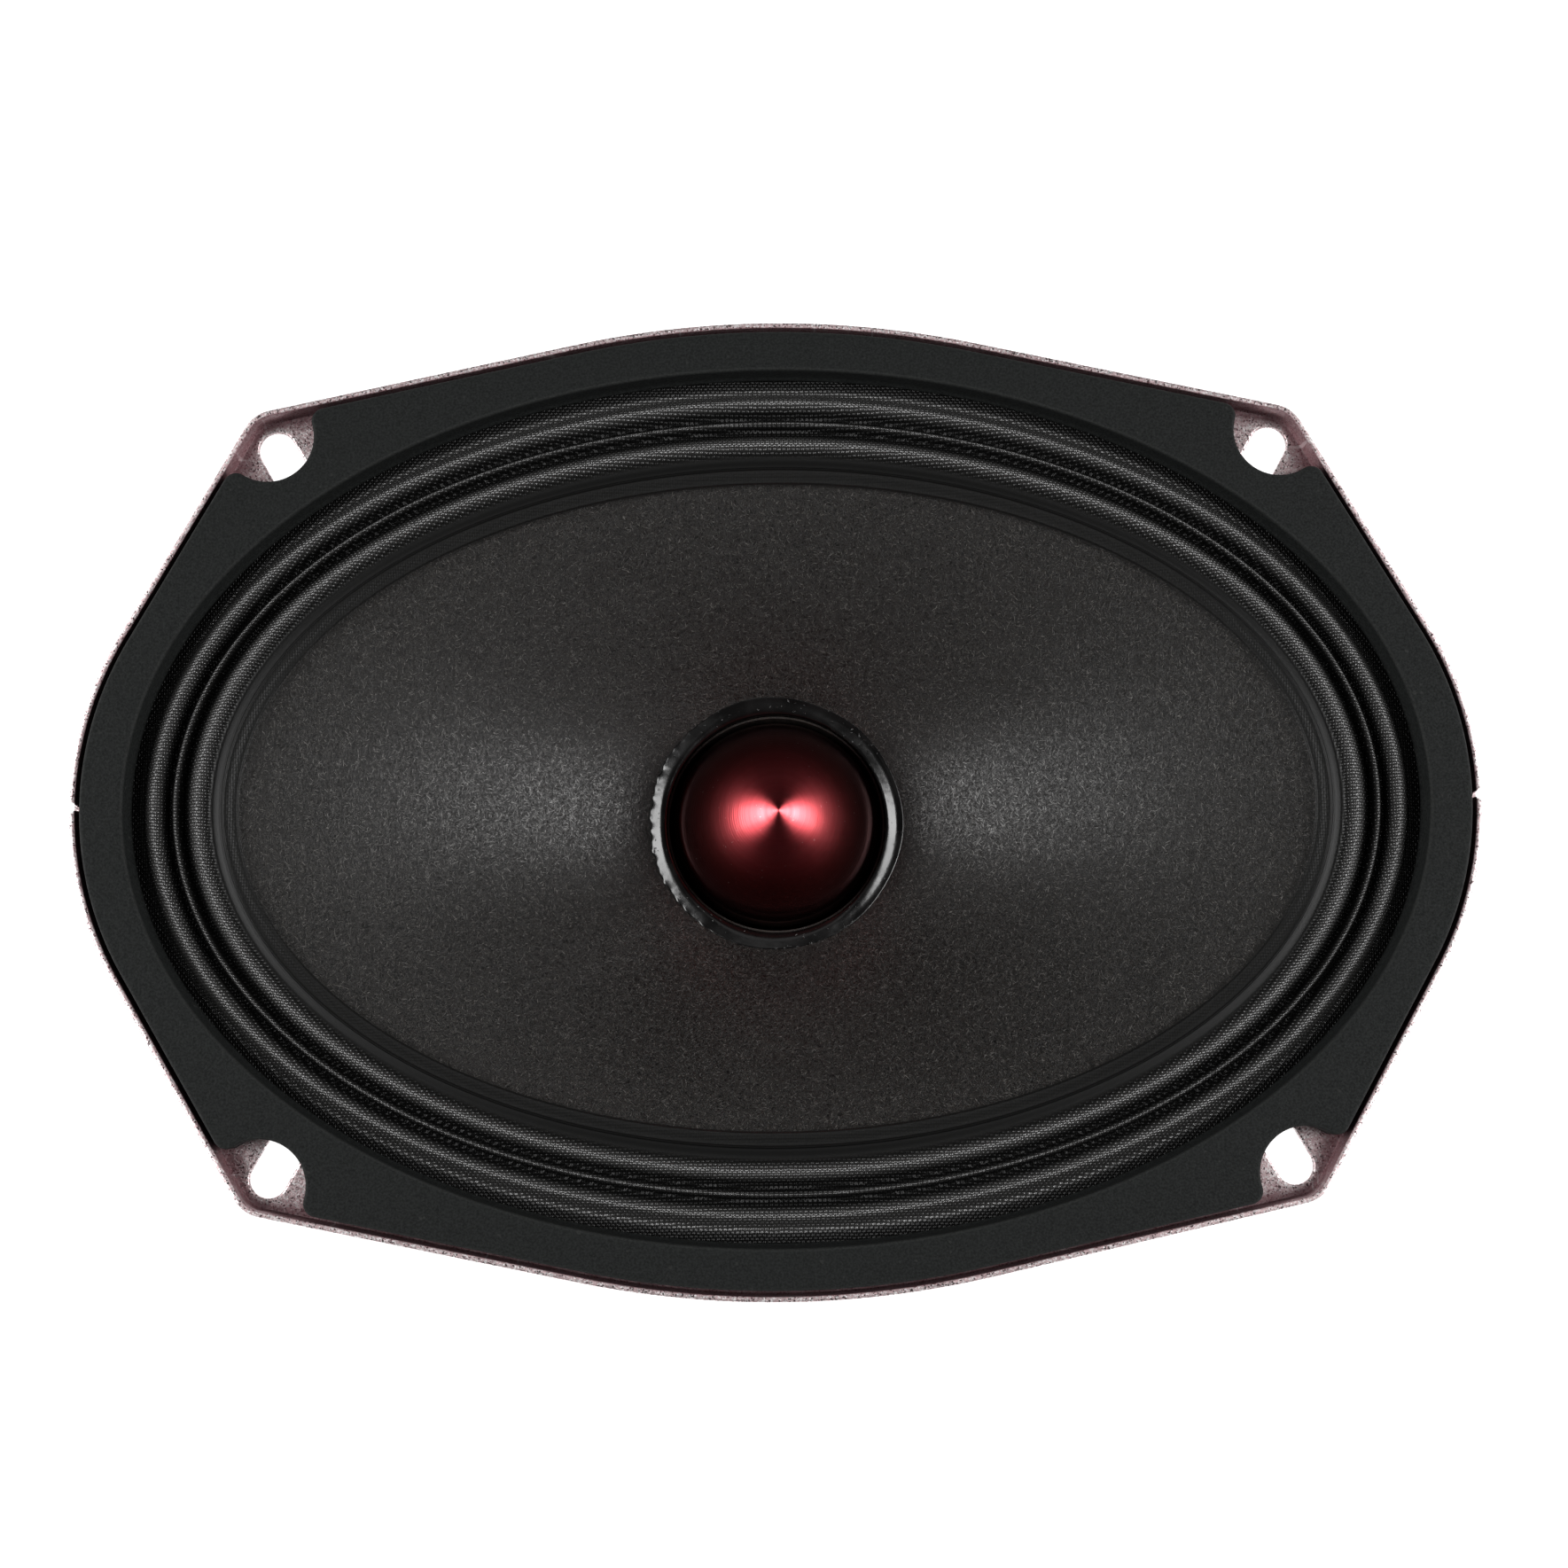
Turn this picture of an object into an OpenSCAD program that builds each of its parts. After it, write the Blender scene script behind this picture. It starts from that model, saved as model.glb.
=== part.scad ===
// Oval car loudspeaker on the common six-by-nine-inch frame, with a fixed bullet
// in the middle of a paper cone. Millimetres. The origin is the centre of the
// flange's back face, +Z points out of the front and +X lies along the oval.

/* [Flange] */
// Length of the flange over its lip
frame_length = 235; // [233:0.5:237]
// Width of the flange over its lip
frame_width = 164; // [163:0.5:166]
// Radius of the rounded ends
end_radius = 57.7; // [56:0.1:59]
// Half angle of each end arc
end_angle = 29.8; // [29:0.1:31]
// Radius of the long sides
side_radius = 160; // [155:1:165]
// Half angle of each side arc
side_angle = 12.2; // [11.5:0.1:13]
// Radius of the four corners
corner_radius = 6; // [5:0.5:8]
// Height of the turned-up lip above the back face
lip_height = 5; // [4:0.1:6]
// Thickness of the pressed steel
sheet = 1; // [0.8:0.1:1.2]
// Width of the notch that marks each end of the lip
notch_width = 2.6; // [2:0.1:4]

/* [Screw slots] */
// Centre of a slot from the short axis
slot_x = 83.5; // [83:0.1:84]
// Centre of a slot from the long axis
slot_y = 59.2; // [58.8:0.1:59.6]
// Direction of a slot from the long axis
slot_angle = 60.6; // [58:0.1:63]
// Width of a slot
slot_width = 6.2; // [5.5:0.1:6.5]
// Length of a slot from end to end
slot_length = 11; // [9:0.1:12]

/* [Basket] */
// Half length of the oval opening
opening_a = 107.5; // [107:0.1:108]
// Half width of the oval opening
opening_b = 71.8; // [71.5:0.1:72.2]
// Depth of the oval wall behind the flange
wall_depth = 12; // [10:0.5:14]
// Height of the spider ledge
ledge_z = -38; // [-39:0.1:-37.5]
// Outer radius of the round cup
cup_r = 53; // [52.6:0.1:54]
// Width of an arm
arm_width = 15; // [12:0.5:17]

/* [Gasket] */
// Gap between the gasket and the lip's outer edge
gasket_inset = 1.9; // [1.6:0.1:2.4]
// Height of the gasket's front face
gasket_top = 6.2; // [5.6:0.1:7]
// Radius of the scallops that clear the screws
scallop_r = 7.65; // [7:0.05:8.5]
// Centre of a scallop from the short axis
scallop_x = 85.4; // [85:0.1:86]
// Centre of a scallop from the long axis
scallop_y = 62.3; // [62:0.1:63]

/* [Cone] */
// Outer radius of the coil former
former_outer = 19.7; // [19.6:0.05:19.8]
// Height of the cone's neck
neck_z = -31; // [-31.5:0.1:-30.8]
// Height of the cone where its flat rim starts
rim_z = 1.4; // [1.2:0.1:1.5]
// Thickness of the cone paper
paper = 0.8; // [0.5:0.1:1]
// How strongly the cone bellies out
belly = 0.35; // [0.1:0.05:0.5]

/* [Motor] */
// Radius of the two steel plates
plate_r = 52.5; // [50:0.5:55]
// Radius of the ferrite magnet
magnet_r = 57.5; // [55:0.5:60]
// Thickness of the top plate
plate_thick = 6; // [5:0.5:7]
// Height of the magnet
magnet_thick = 20; // [16:1:22]
// Thickness of the yoke's back plate
yoke_thick = 7; // [7:0.5:9]
// Radius of the pole
pole_r = 18.8; // [18.5:0.1:18.9]
// Radius of the hole in the top plate
gap_r = 20.9; // [20.8:0.1:21.2]
// Radius of the hole in the magnet
magnet_bore_r = 26; // [24:0.5:30]

/* [Bullet] */
// Radius of the bullet's foot
bullet_r = 18.5; // [18:0.1:18.7]
// Height of the bullet's tip
bullet_tip = -8.7; // [-12:0.1:-6]
// Fullness of the bullet's nose
nose_power = 0.88; // [0.6:0.02:1]
// Radius of the screw that holds the bullet
bullet_screw_r = 3; // [2.5:0.1:3]

/* [Terminals] */
// Half length of the terminal block
block_half = 17.5; // [17.5:0.5:19]
// Distance of each push button from the middle
button_x = 6.5; // [6.4:0.1:6.8]
// Radius of the wire holes
wire_r = 1.6; // [1.2:0.1:1.8]
// Travel of the push buttons
button_travel = 3; // [2:0.1:3]

/* [Hidden] */
$fn = 96;

// Clearance that is left between a part that moves and one that doesn't
play = 0.3;
// Clearance round the clamped edges of the soft parts
seat = 0.05;

// Centres of the arcs of the outline, in the quarter where X and Y are positive
end_centre = [frame_length / 2 - end_radius, 0];
side_centre = [0, frame_width / 2 - side_radius];
end_normal = [cos(end_angle), sin(end_angle)];
side_normal = [sin(side_angle), cos(side_angle)];
end_reach = end_normal * end_centre + end_radius - corner_radius;
side_reach = side_normal * side_centre + side_radius - corner_radius;
corner_centre = meet(end_normal, end_reach, side_normal, side_reach);

// Soft parts: the rings of the surround, by distance inwards from the opening
ring_steps = 64;
surround_skin = 0.6;
surround_flange = 3.6;
surround_knots = [
  [1.2, 1.3], [3.5, 4.1], [6.0, 1.5], [7.0, 3.3], [8.1, 1.5],
  [10.7, 4.1], [13.0, 2.0], [14.7, 2.4], [16.6, 1.8]
];
cone_rim_inset = 16.6;
cone_edge_inset = 14.2;
cone_edge_rise = 0.5;
neck_r = former_outer + 0.1;
spider_skin = 0.6;
spider_flat_r = 45.6;
spider_outer_r = 50;
spider_waves = 5;
spider_wave_height = 1.2;

// Motor levels, from the front to the back
plate_top = -47;
magnet_top = plate_top - plate_thick;
yoke_top = magnet_top - magnet_thick;
back_z = yoke_top - yoke_thick;
seat_z = plate_top + sheet;
screw_circle = 34;
counterbore_r = 8;
washer_thick = 1.2;
washer_r = 7;
bullet_head_r = 5;
bullet_head = 5;
bullet_socket_r = 2.9;
bullet_socket = 3.8;
bullet_screw_depth = 11;

// Moving coil
former_inner = former_outer - 0.4;
collar_r = former_outer + 0.4;
collar_bottom = -43;
collar_top = -35.4;
coil_r = former_outer + 0.8;
leadout_r = former_outer + 0.3;
leadout_angle = 18;
leadout_width = 1.2;
former_top = -30.5;
former_bottom = -58;
coil_length = 12;
coil_middle = plate_top - plate_thick / 2;

// Screws that hold the basket to the top plate
plate_screw_r = 2.5;
plate_screw_depth = 5;
plate_screw_head_r = 4.4;
plate_screw_head = 2.6;
plate_socket_r = 2;

// Pressed cup of the basket
cup_hole_r = 24;
cup_floor_r = 48;
ledge_inner_r = 46;
ledge_outer_r = 50;
arm_lap = 0.6;
arm_rise = 3;

// Terminal pad and block
pad_y = 62.6;
pad_thick = 1.2;
pad_half = 18;
block_inner = pad_y + pad_thick;
block_outer = 75;
block_top = -16;
block_bottom = -36;
cavity_r = 3.7;
cavity_y = 68.6;
cavity_floor = -31;
stem_r = 2.6;
plunger_top = -25;
rivet_x = 14.2;
rivet_r = 1.5;
rivet_rise = 10;
rivet_head_r = 2.8;
rivet_head = 0.9;
rivet_tail_r = 2.6;
rivet_tail = 0.8;
cover_thick = 1.2;
peg_r = 1.1;
peg_length = 3;
peg_ys = [66.5, 71.8];
contact_z = -20.6;
contact_half = 1.8;
contact_thick = 0.8;
contact_leg = 6;
contact_lap = 1.1;
lug_end = 56;
lug_hole_r = 0.7;
lug_hole_lap = 3.4;

// Tinsel lead from the lug to the coil, as distance below the long axis and height
lead_r = 0.9;
lead_route = [
  [55.9, -20.2], [54.2, -20.2], [52, -20.9], [49, -22.9], [46, -25.3], [43, -27.5],
  [40, -29.3], [37, -30.7], [34, -31.8], [31, -32.6], [28, -33.1], [25, -33.4], [22, -33.4]
];

// Solder joints on the coil's lead-outs
solder_r = 1.5;
solder_y = 20.4;

// Button spring
spring_turns = 6;
spring_r = 2.4;
spring_wire = 0.35;

// Point where two lines, each given by its normal and its reach, cross
function meet(n1, d1, n2, d2) =
  let (det = n1.x * n2.y - n1.y * n2.x)
  [(d1 * n2.y - d2 * n1.y) / det, (n1.x * d2 - n2.x * d1) / det];

function arc_points(centre, r, from, to, steps) =
  [for (i = [0:steps]) let (a = from + (to - from) * i / steps) centre + r * [cos(a), sin(a)]];

// A quarter of the outline, moved inwards by inset
function quarter_outline(inset) = concat(
  arc_points(end_centre, end_radius - inset, 0, end_angle, 8),
  arc_points(corner_centre, corner_radius - inset, end_angle, 90 - side_angle, 6),
  arc_points(side_centre, side_radius - inset, 90 - side_angle, 90, 5)
);

// The whole outline: the quarter and its three mirror images
function outline_points(inset) =
  let (q = quarter_outline(inset), n = len(q) - 1)
  concat(
    [for (i = [0:n - 1]) q[i]],
    [for (i = [n:-1:1]) [-q[i].x, q[i].y]],
    [for (i = [0:n - 1]) -q[i]],
    [for (i = [n:-1:1]) [q[i].x, -q[i].y]]
  );

function oval_points(a, b, steps = 96) =
  [for (i = [0:steps - 1]) [a * cos(360 * i / steps), b * sin(360 * i / steps)]];

// Distance from the centre to the oval opening, in the direction of angle
function oval_reach(angle) =
  opening_a * opening_b / norm([opening_b * cos(angle), opening_a * sin(angle)]);

function smooth(t) = (1 - cos(180 * t)) / 2;

// Surround profile: half cosine waves from knot to knot
function surround_profile(steps) = concat(
  [[-surround_flange, surround_knots[0][1]]],
  [for (k = [0:len(surround_knots) - 2], i = [0:steps - 1])
    let (p = surround_knots[k], q = surround_knots[k + 1], t = i / steps)
    [p[0] + (q[0] - p[0]) * t, p[1] + (q[1] - p[1]) * smooth(t)]],
  [surround_knots[len(surround_knots) - 1]]
);

// Height of the cone's front face at the share t of the way from neck to rim
function cone_height(t) = neck_z + (rim_z - neck_z) * (t + belly * t * (1 - t));

// Spider profile: even waves from the collar to the flat rim
function spider_height(r) =
  spider_wave_height * sin(360 * spider_waves * (r - collar_r) / (spider_flat_r - collar_r));

// Closed solid from rings of equal step count, joined in order and back to the first
module ring_solid(rings, steps) {
  count = len(rings);
  points = [for (r = rings, i = [0:steps - 1])
    [r[0] * cos(360 * i / steps), r[1] * sin(360 * i / steps), r[2]]];
  faces = [for (j = [0:count - 1], i = [0:steps - 1], half = [0, 1])
    let (k = (j + 1) % count, n = (i + 1) % steps)
    half == 0
      ? [j * steps + i, j * steps + n, k * steps + n]
      : [j * steps + i, k * steps + n, k * steps + i]];
  polyhedron(points, faces);
}

// Round tube along a route in a plane of constant X
module lead_tube(x, route, r, sides = 8) {
  count = len(route);
  points = [for (j = [0:count - 1])
    let (
      before = route[max(j - 1, 0)],
      after = route[min(j + 1, count - 1)],
      along = (after - before) / norm(after - before),
      across = [-along[1], along[0]]
    )
    for (i = [0:sides - 1])
      let (a = 360 * i / sides)
      [
        x + r * cos(a),
        -(route[j][0] + r * sin(a) * across[0]),
        route[j][1] + r * sin(a) * across[1]
      ]];
  faces = concat(
    [[for (i = [0:sides - 1]) i]],
    [for (j = [0:count - 2], i = [0:sides - 1], half = [0, 1])
      let (n = (i + 1) % sides, a = j * sides, b = a + sides)
      half == 0 ? [a + i, b + n, a + n] : [a + i, b + i, b + n]],
    [[for (i = [sides - 1:-1:0]) (count - 1) * sides + i]]
  );
  polyhedron(points, faces);
}

// Coil spring between two heights: a round wire carried up a helix
module helix_spring(bottom, top) {
  sides = 6;
  per_turn = 14;
  count = spring_turns * per_turn + 1;
  rise = top - bottom - 2 * spring_wire;
  points = [for (j = [0:count - 1], i = [0:sides - 1])
    let (a = 360 * j / per_turn, b = 360 * i / sides, r = spring_r + spring_wire * cos(b))
    [r * cos(a), r * sin(a), bottom + spring_wire + rise * j / (count - 1) + spring_wire * sin(b)]];
  faces = concat(
    [[for (i = [sides - 1:-1:0]) i]],
    [for (j = [0:count - 2], i = [0:sides - 1], half = [0, 1])
      let (n = (i + 1) % sides, a = j * sides, b = a + sides)
      half == 0 ? [a + i, a + n, b + n] : [a + i, b + n, b + i]],
    [[for (i = [0:sides - 1]) (count - 1) * sides + i]]
  );
  polyhedron(points, faces);
}

module tube(outer, inner, bottom, top) {
  translate([0, 0, bottom])
    difference() {
      cylinder(r = outer, h = top - bottom);
      translate([0, 0, -1])
        cylinder(r = inner, h = top - bottom + 2);
    }
}

module oval_plate(inset, a, b, bottom, top) {
  translate([0, 0, bottom])
    linear_extrude(top - bottom)
      difference() {
        polygon(outline_points(inset));
        polygon(oval_points(a, b));
      }
}

// Section in the upright plane at angle, drawn as distance and height, width wide
module upright_strip(angle, width, section) {
  rotate([0, 0, angle])
    rotate([90, 0, 0])
      translate([0, 0, -width / 2])
        linear_extrude(width)
          polygon(section);
}

module in_four_corners() {
  for (sx = [-1, 1], sy = [-1, 1])
    scale([sx, sy, 1])
      children();
}

// Places a child on the axis of each screw of the top plate
module at_plate_screws() {
  for (angle = [0:90:270])
    rotate([0, 0, angle + 45])
      translate([screw_circle, 0, 0])
        children();
}

// One screw slot, standing through the flange
module screw_slot() {
  straight = slot_length - slot_width;
  translate([slot_x, slot_y, -1])
    rotate([0, 0, slot_angle]) {
      for (end = [-1, 1])
        translate([end * straight / 2, 0, 0])
          cylinder(r = slot_width / 2, h = sheet + 2, $fn = 48);
      translate([-straight / 2, -slot_width / 2, 0])
        cube([straight, slot_width, sheet + 2]);
    }
}

// Places a child at the button axis, on the side that is given as 1 or -1
module at_button(side) {
  translate([side * button_x, -cavity_y, 0])
    children();
}

module basket_arms() {
  for (angle = [22.5:45:337.5]) {
    reach = oval_reach(angle);
    upright_strip(angle, arm_width, [
      [reach - arm_lap, -wall_depth + arm_rise],
      [reach + sheet - 0.2, -wall_depth + arm_rise],
      [reach + sheet - 0.2, -wall_depth - 0.8],
      [cup_r, ledge_z - 2],
      [cup_r - 2.4, ledge_z - 0.4],
      [reach - arm_lap, -wall_depth]
    ]);
  }
}

module terminal_pad() {
  upright_strip(-90, 2 * pad_half, [
    [opening_b - 0.3, -wall_depth + arm_rise],
    [opening_b + sheet - 0.3, -wall_depth + arm_rise],
    [opening_b + sheet - 0.3, -wall_depth - 0.6],
    [block_inner, -wall_depth - 2.6],
    [block_inner, block_bottom - 1],
    [cup_r, ledge_z - 1.8],
    [cup_r - 2, ledge_z - 0.4],
    [pad_y, block_bottom - 0.6],
    [pad_y, -wall_depth - 1.6],
    [opening_b - 0.3, -wall_depth + 0.6]
  ]);
}

module cup() {
  rotate_extrude()
    polygon([
      [cup_hole_r, seat_z], [cup_hole_r, plate_top], [cup_floor_r, plate_top],
      [cup_floor_r + 1.2, plate_top + 0.6], [cup_r - 1.8, ledge_z - 3.4], [cup_r, ledge_z - 2],
      [cup_r, ledge_z + 1.2], [cup_r - sheet, ledge_z + 1.2], [cup_r - sheet, ledge_z],
      [ledge_inner_r, ledge_z], [ledge_inner_r, ledge_z - sheet], [ledge_outer_r, ledge_z - sheet],
      [cup_floor_r + 0.2, seat_z + 0.6], [cup_floor_r - 0.6, seat_z]
    ]);
}

module basket() {
  color("firebrick")
    difference() {
      union() {
        oval_plate(0, opening_a, opening_b, 0, sheet);
        translate([0, 0, 0.4])
          linear_extrude(lip_height - 0.4)
            difference() {
              polygon(outline_points(0));
              polygon(outline_points(sheet));
            }
        translate([0, 0, -wall_depth])
          linear_extrude(wall_depth + 0.4)
            difference() {
              polygon(oval_points(opening_a + sheet, opening_b + sheet));
              polygon(oval_points(opening_a, opening_b));
            }
        basket_arms();
        terminal_pad();
        cup();
      }
      in_four_corners()
        screw_slot();
      for (side = [-1, 1]) {
        translate([side * frame_length / 2, 0, sheet + 0.4])
          linear_extrude(lip_height)
            rotate([0, 0, 45])
              square(notch_width / sqrt(2), center = true);
        translate([side * button_x - contact_half - 0.2, -block_inner - 1, contact_z - 0.3])
          cube([2 * contact_half + 0.4, pad_thick + 2, contact_thick + 0.6]);
        translate([side * rivet_x, -pad_y + 1, block_bottom + rivet_rise])
          rotate([90, 0, 0])
            cylinder(r = rivet_r, h = pad_thick + 2, $fn = 32);
      }
      at_plate_screws()
        translate([0, 0, plate_top - 1])
          cylinder(r = plate_screw_r + 0.2, h = sheet + 2, $fn = 48);
    }
}

module gasket() {
  fold = 1.4;
  color("darkslategray")
    difference() {
      oval_plate(gasket_inset, opening_a + 1, opening_b + 1.5, sheet, gasket_top);
      translate([0, 0, sheet - 1])
        linear_extrude(surround_knots[0][1] + 0.3 + seat - sheet + 1)
          polygon(oval_points(opening_a + surround_flange + 0.5, opening_b + surround_flange + 0.5));
      for (shift = [0, fold])
        in_four_corners()
          translate([scallop_x + shift, scallop_y + shift, 0])
            cylinder(r = scallop_r, h = gasket_top + 1, $fn = 64);
    }
}

module plate_screws() {
  color("dimgray")
    at_plate_screws()
      difference() {
        union() {
          translate([0, 0, seat_z])
            cylinder(r = plate_screw_head_r, h = plate_screw_head, $fn = 48);
          translate([0, 0, plate_top - plate_screw_depth])
            cylinder(r = plate_screw_r, h = plate_screw_depth + sheet, $fn = 48);
        }
        translate([0, 0, seat_z + 1])
          cylinder(r = plate_socket_r, h = plate_screw_head, $fn = 6);
      }
}

module top_plate() {
  color("gray")
    difference() {
      tube(plate_r, gap_r, magnet_top, plate_top);
      at_plate_screws()
        translate([0, 0, plate_top - plate_screw_depth])
          cylinder(r = plate_screw_r, h = plate_screw_depth + 1, $fn = 48);
    }
}

module magnet() {
  color("darkgray")
    tube(magnet_r, magnet_bore_r, yoke_top, magnet_top);
}

module yoke() {
  color("gray")
    difference() {
      union() {
        translate([0, 0, back_z])
          cylinder(r = plate_r, h = yoke_thick);
        translate([0, 0, back_z])
          cylinder(r = pole_r, h = plate_top - back_z);
      }
      translate([0, 0, back_z - 1])
        cylinder(r = bullet_screw_r + 0.3, h = plate_top - back_z + 2);
      translate([0, 0, back_z - 1])
        cylinder(r = counterbore_r, h = yoke_thick + 1);
    }
}

module bullet() {
  foot = neck_z - 1.5;
  nose = bullet_tip - foot;
  color("crimson")
    difference() {
      rotate_extrude()
        polygon(concat(
          [[0, plate_top], [bullet_r - 0.5, plate_top], [bullet_r, plate_top + 0.5]],
          [for (i = [0:16]) let (t = i / 16) [bullet_r * pow(1 - t * t, nose_power), foot + nose * t]]
        ));
      translate([0, 0, plate_top - 1])
        cylinder(r = bullet_screw_r + 0.05, h = bullet_screw_depth + 2);
    }
}

module bullet_screw() {
  color("silver")
    difference() {
      union() {
        translate([0, 0, yoke_top - washer_thick - bullet_head])
          cylinder(r = bullet_head_r, h = bullet_head);
        translate([0, 0, yoke_top - washer_thick])
          cylinder(r = bullet_screw_r, h = plate_top - yoke_top + washer_thick + bullet_screw_depth);
      }
      translate([0, 0, yoke_top - washer_thick - bullet_head - 1])
        cylinder(r = bullet_socket_r, h = bullet_socket, $fn = 6);
    }
}

module bullet_washer() {
  color("silver")
    tube(washer_r, bullet_screw_r + play / 2, yoke_top - washer_thick, yoke_top);
}

module terminal_block() {
  color("black")
    difference() {
      translate([-block_half, -block_outer, block_bottom])
        cube([2 * block_half, block_outer - block_inner, block_top - block_bottom]);
      for (side = [-1, 1]) {
        at_button(side) {
          translate([0, 0, cavity_floor])
            cylinder(r = cavity_r, h = block_top - cavity_floor + 1, $fn = 64);
          translate([0, 0, block_bottom - 1])
            cylinder(r = stem_r + play, h = cavity_floor - block_bottom + 2, $fn = 64);
        }
        translate([side * button_x, -cavity_y, plunger_top])
          rotate([90, 0, 0])
            cylinder(r = wire_r, h = block_outer - cavity_y + 1, $fn = 48);
        translate([side * button_x - contact_half, -block_inner - contact_lap, contact_z - contact_leg])
          cube([2 * contact_half, contact_lap + 1, contact_leg + contact_thick]);
        translate([side * rivet_x, -block_inner + 1, block_bottom + rivet_rise])
          rotate([90, 0, 0])
            cylinder(r = rivet_r, h = block_outer - block_inner + 2, $fn = 32);
      }
      for (y = peg_ys)
        translate([0, -y, block_top - peg_length])
          cylinder(r = peg_r, h = peg_length + 1, $fn = 32);
    }
}

module terminal_cover() {
  color("black") {
    translate([-block_half, -block_outer, block_top])
      cube([2 * block_half, block_outer - block_inner, cover_thick]);
    for (y = peg_ys)
      translate([0, -y, block_top - peg_length])
        cylinder(r = peg_r, h = peg_length + 0.5, $fn = 32);
  }
}

module terminal_rivets() {
  color("silver")
    for (side = [-1, 1])
      translate([side * rivet_x, -pad_y, block_bottom + rivet_rise])
        rotate([90, 0, 0]) {
          translate([0, 0, -rivet_tail])
            cylinder(r = rivet_tail_r, h = rivet_tail, $fn = 32);
          translate([0, 0, -rivet_tail / 2])
            cylinder(r = rivet_r, h = block_outer - pad_y + rivet_tail, $fn = 32);
          translate([0, 0, block_outer - pad_y])
            cylinder(r = rivet_head_r, h = rivet_head, $fn = 32);
        }
}

// Bent strip: a leg that the wire is pressed against, and a lug inside the basket
module contact(side) {
  color("goldenrod")
    difference() {
      union() {
        translate([side * button_x - contact_half, -block_inner - contact_lap, contact_z - contact_leg])
          cube([2 * contact_half, contact_thick, contact_leg + contact_thick]);
        translate([side * button_x - contact_half, -block_inner - contact_lap, contact_z])
          cube([2 * contact_half, block_inner + contact_lap - lug_end, contact_thick]);
      }
      translate([side * button_x, -lug_end - lug_hole_lap, contact_z - 1])
        cylinder(r = lug_hole_r, h = 3, $fn = 24);
    }
}

module positive_contact() {
  contact(1);
}

module negative_contact() {
  contact(-1);
}

module button_spring(side) {
  color("silver")
    at_button(side)
      helix_spring(plunger_top + seat, block_top - seat);
}

module positive_spring() {
  button_spring(1);
}

module negative_spring() {
  button_spring(-1);
}

module push_button(side) {
  shoulder = cavity_floor + play;
  at_button(side)
    difference() {
      union() {
        translate([0, 0, shoulder])
          cylinder(r = cavity_r - play, h = plunger_top - shoulder, $fn = 64);
        translate([0, 0, block_bottom - 6])
          cylinder(r = stem_r, h = shoulder - block_bottom + 6.4, $fn = 64);
      }
      translate([0, 6, plunger_top - button_travel])
        rotate([90, 0, 0])
          cylinder(r = wire_r - 0.2, h = 12, $fn = 32);
    }
}

module positive_button() {
  color("red")
    push_button(1);
}

module negative_button() {
  color("black")
    push_button(-1);
}

module surround() {
  front = surround_profile(2);
  count = len(front) - 1;
  color("black")
    ring_solid(concat(
      [for (p = front) [opening_a - p[0], opening_b - p[0], p[1] + surround_skin / 2]],
      [for (i = [count:-1:0]) let (p = front[i])
        [opening_a - p[0], opening_b - p[0], p[1] - (i < 2 ? 0.3 - seat : surround_skin / 2)]]
    ), ring_steps);
}

module cone() {
  steps = 9;
  rim_a = opening_a - cone_rim_inset;
  rim_b = opening_b - cone_rim_inset;
  edge_a = opening_a - cone_edge_inset;
  edge_b = opening_b - cone_edge_inset;
  color("dimgray")
    ring_solid(concat(
      [[edge_a, edge_b, rim_z + cone_edge_rise]],
      [for (i = [steps:-1:0]) let (t = i / steps)
        [neck_r + (rim_a - neck_r) * t, neck_r + (rim_b - neck_r) * t, cone_height(t)]],
      [for (i = [0:steps]) let (t = i / steps)
        [neck_r + (rim_a - neck_r) * t, neck_r + (rim_b - neck_r) * t, cone_height(t) - paper]],
      [[edge_a, edge_b, rim_z + cone_edge_rise - paper]]
    ), ring_steps);
}

module neck_glue() {
  color("black")
    rotate_extrude()
      polygon([
        [former_outer, neck_z + 0.3], [22.6, neck_z + 1.9], [22.2, neck_z + 2.6], [21.4, neck_z + 2.8],
        [20.4, neck_z + 2], [former_outer, neck_z + 0.6]
      ]);
}

module former() {
  color("tan")
    tube(former_outer, former_inner, former_bottom, former_top);
}

// The two flat strips in which the lead-outs run up the former
module leadout_paths() {
  for (side = [-1, 1])
    rotate([0, 0, -90 + side * leadout_angle])
      translate([former_inner, -leadout_width / 2, former_bottom])
        cube([leadout_r - former_inner, leadout_width, -neck_z]);
}

module coil_leadouts() {
  color("chocolate")
    intersection() {
      tube(leadout_r, former_outer, coil_middle + coil_length / 2, -33);
      leadout_paths();
    }
}

module former_collar() {
  color("sienna")
    difference() {
      tube(collar_r, former_outer, collar_bottom, collar_top);
      leadout_paths();
    }
}

module voice_coil() {
  color("peru")
    tube(coil_r, former_outer, coil_middle - coil_length / 2, coil_middle + coil_length / 2);
}

module solder_joints() {
  color("silver")
    for (side = [-1, 1])
      translate([side * button_x, -solder_y, lead_route[len(lead_route) - 1][1]])
        sphere(r = solder_r, $fn = 32);
}

module spider() {
  steps = 40;
  span = spider_flat_r - collar_r;
  waves = [for (i = [0:steps]) let (r = collar_r + span * i / steps) [r, spider_height(r)]];
  heights = concat(waves, [[spider_outer_r, 0]]);
  color("khaki")
    translate([0, 0, ledge_z + seat])
      rotate_extrude()
        polygon(concat(
          heights,
          [for (i = [steps + 1:-1:0]) heights[i] + [0, spider_skin]]
        ));
}

module spider_glue() {
  color("black")
    rotate_extrude()
      polygon([
        [collar_r, ledge_z + 0.7], [collar_r + 1, ledge_z + 1.6],
        [collar_r + 0.8, ledge_z + 2.2], [collar_r, ledge_z + 2.5]
      ]);
}

module positive_lead() {
  color("orange")
    lead_tube(button_x, lead_route, lead_r);
}

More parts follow.
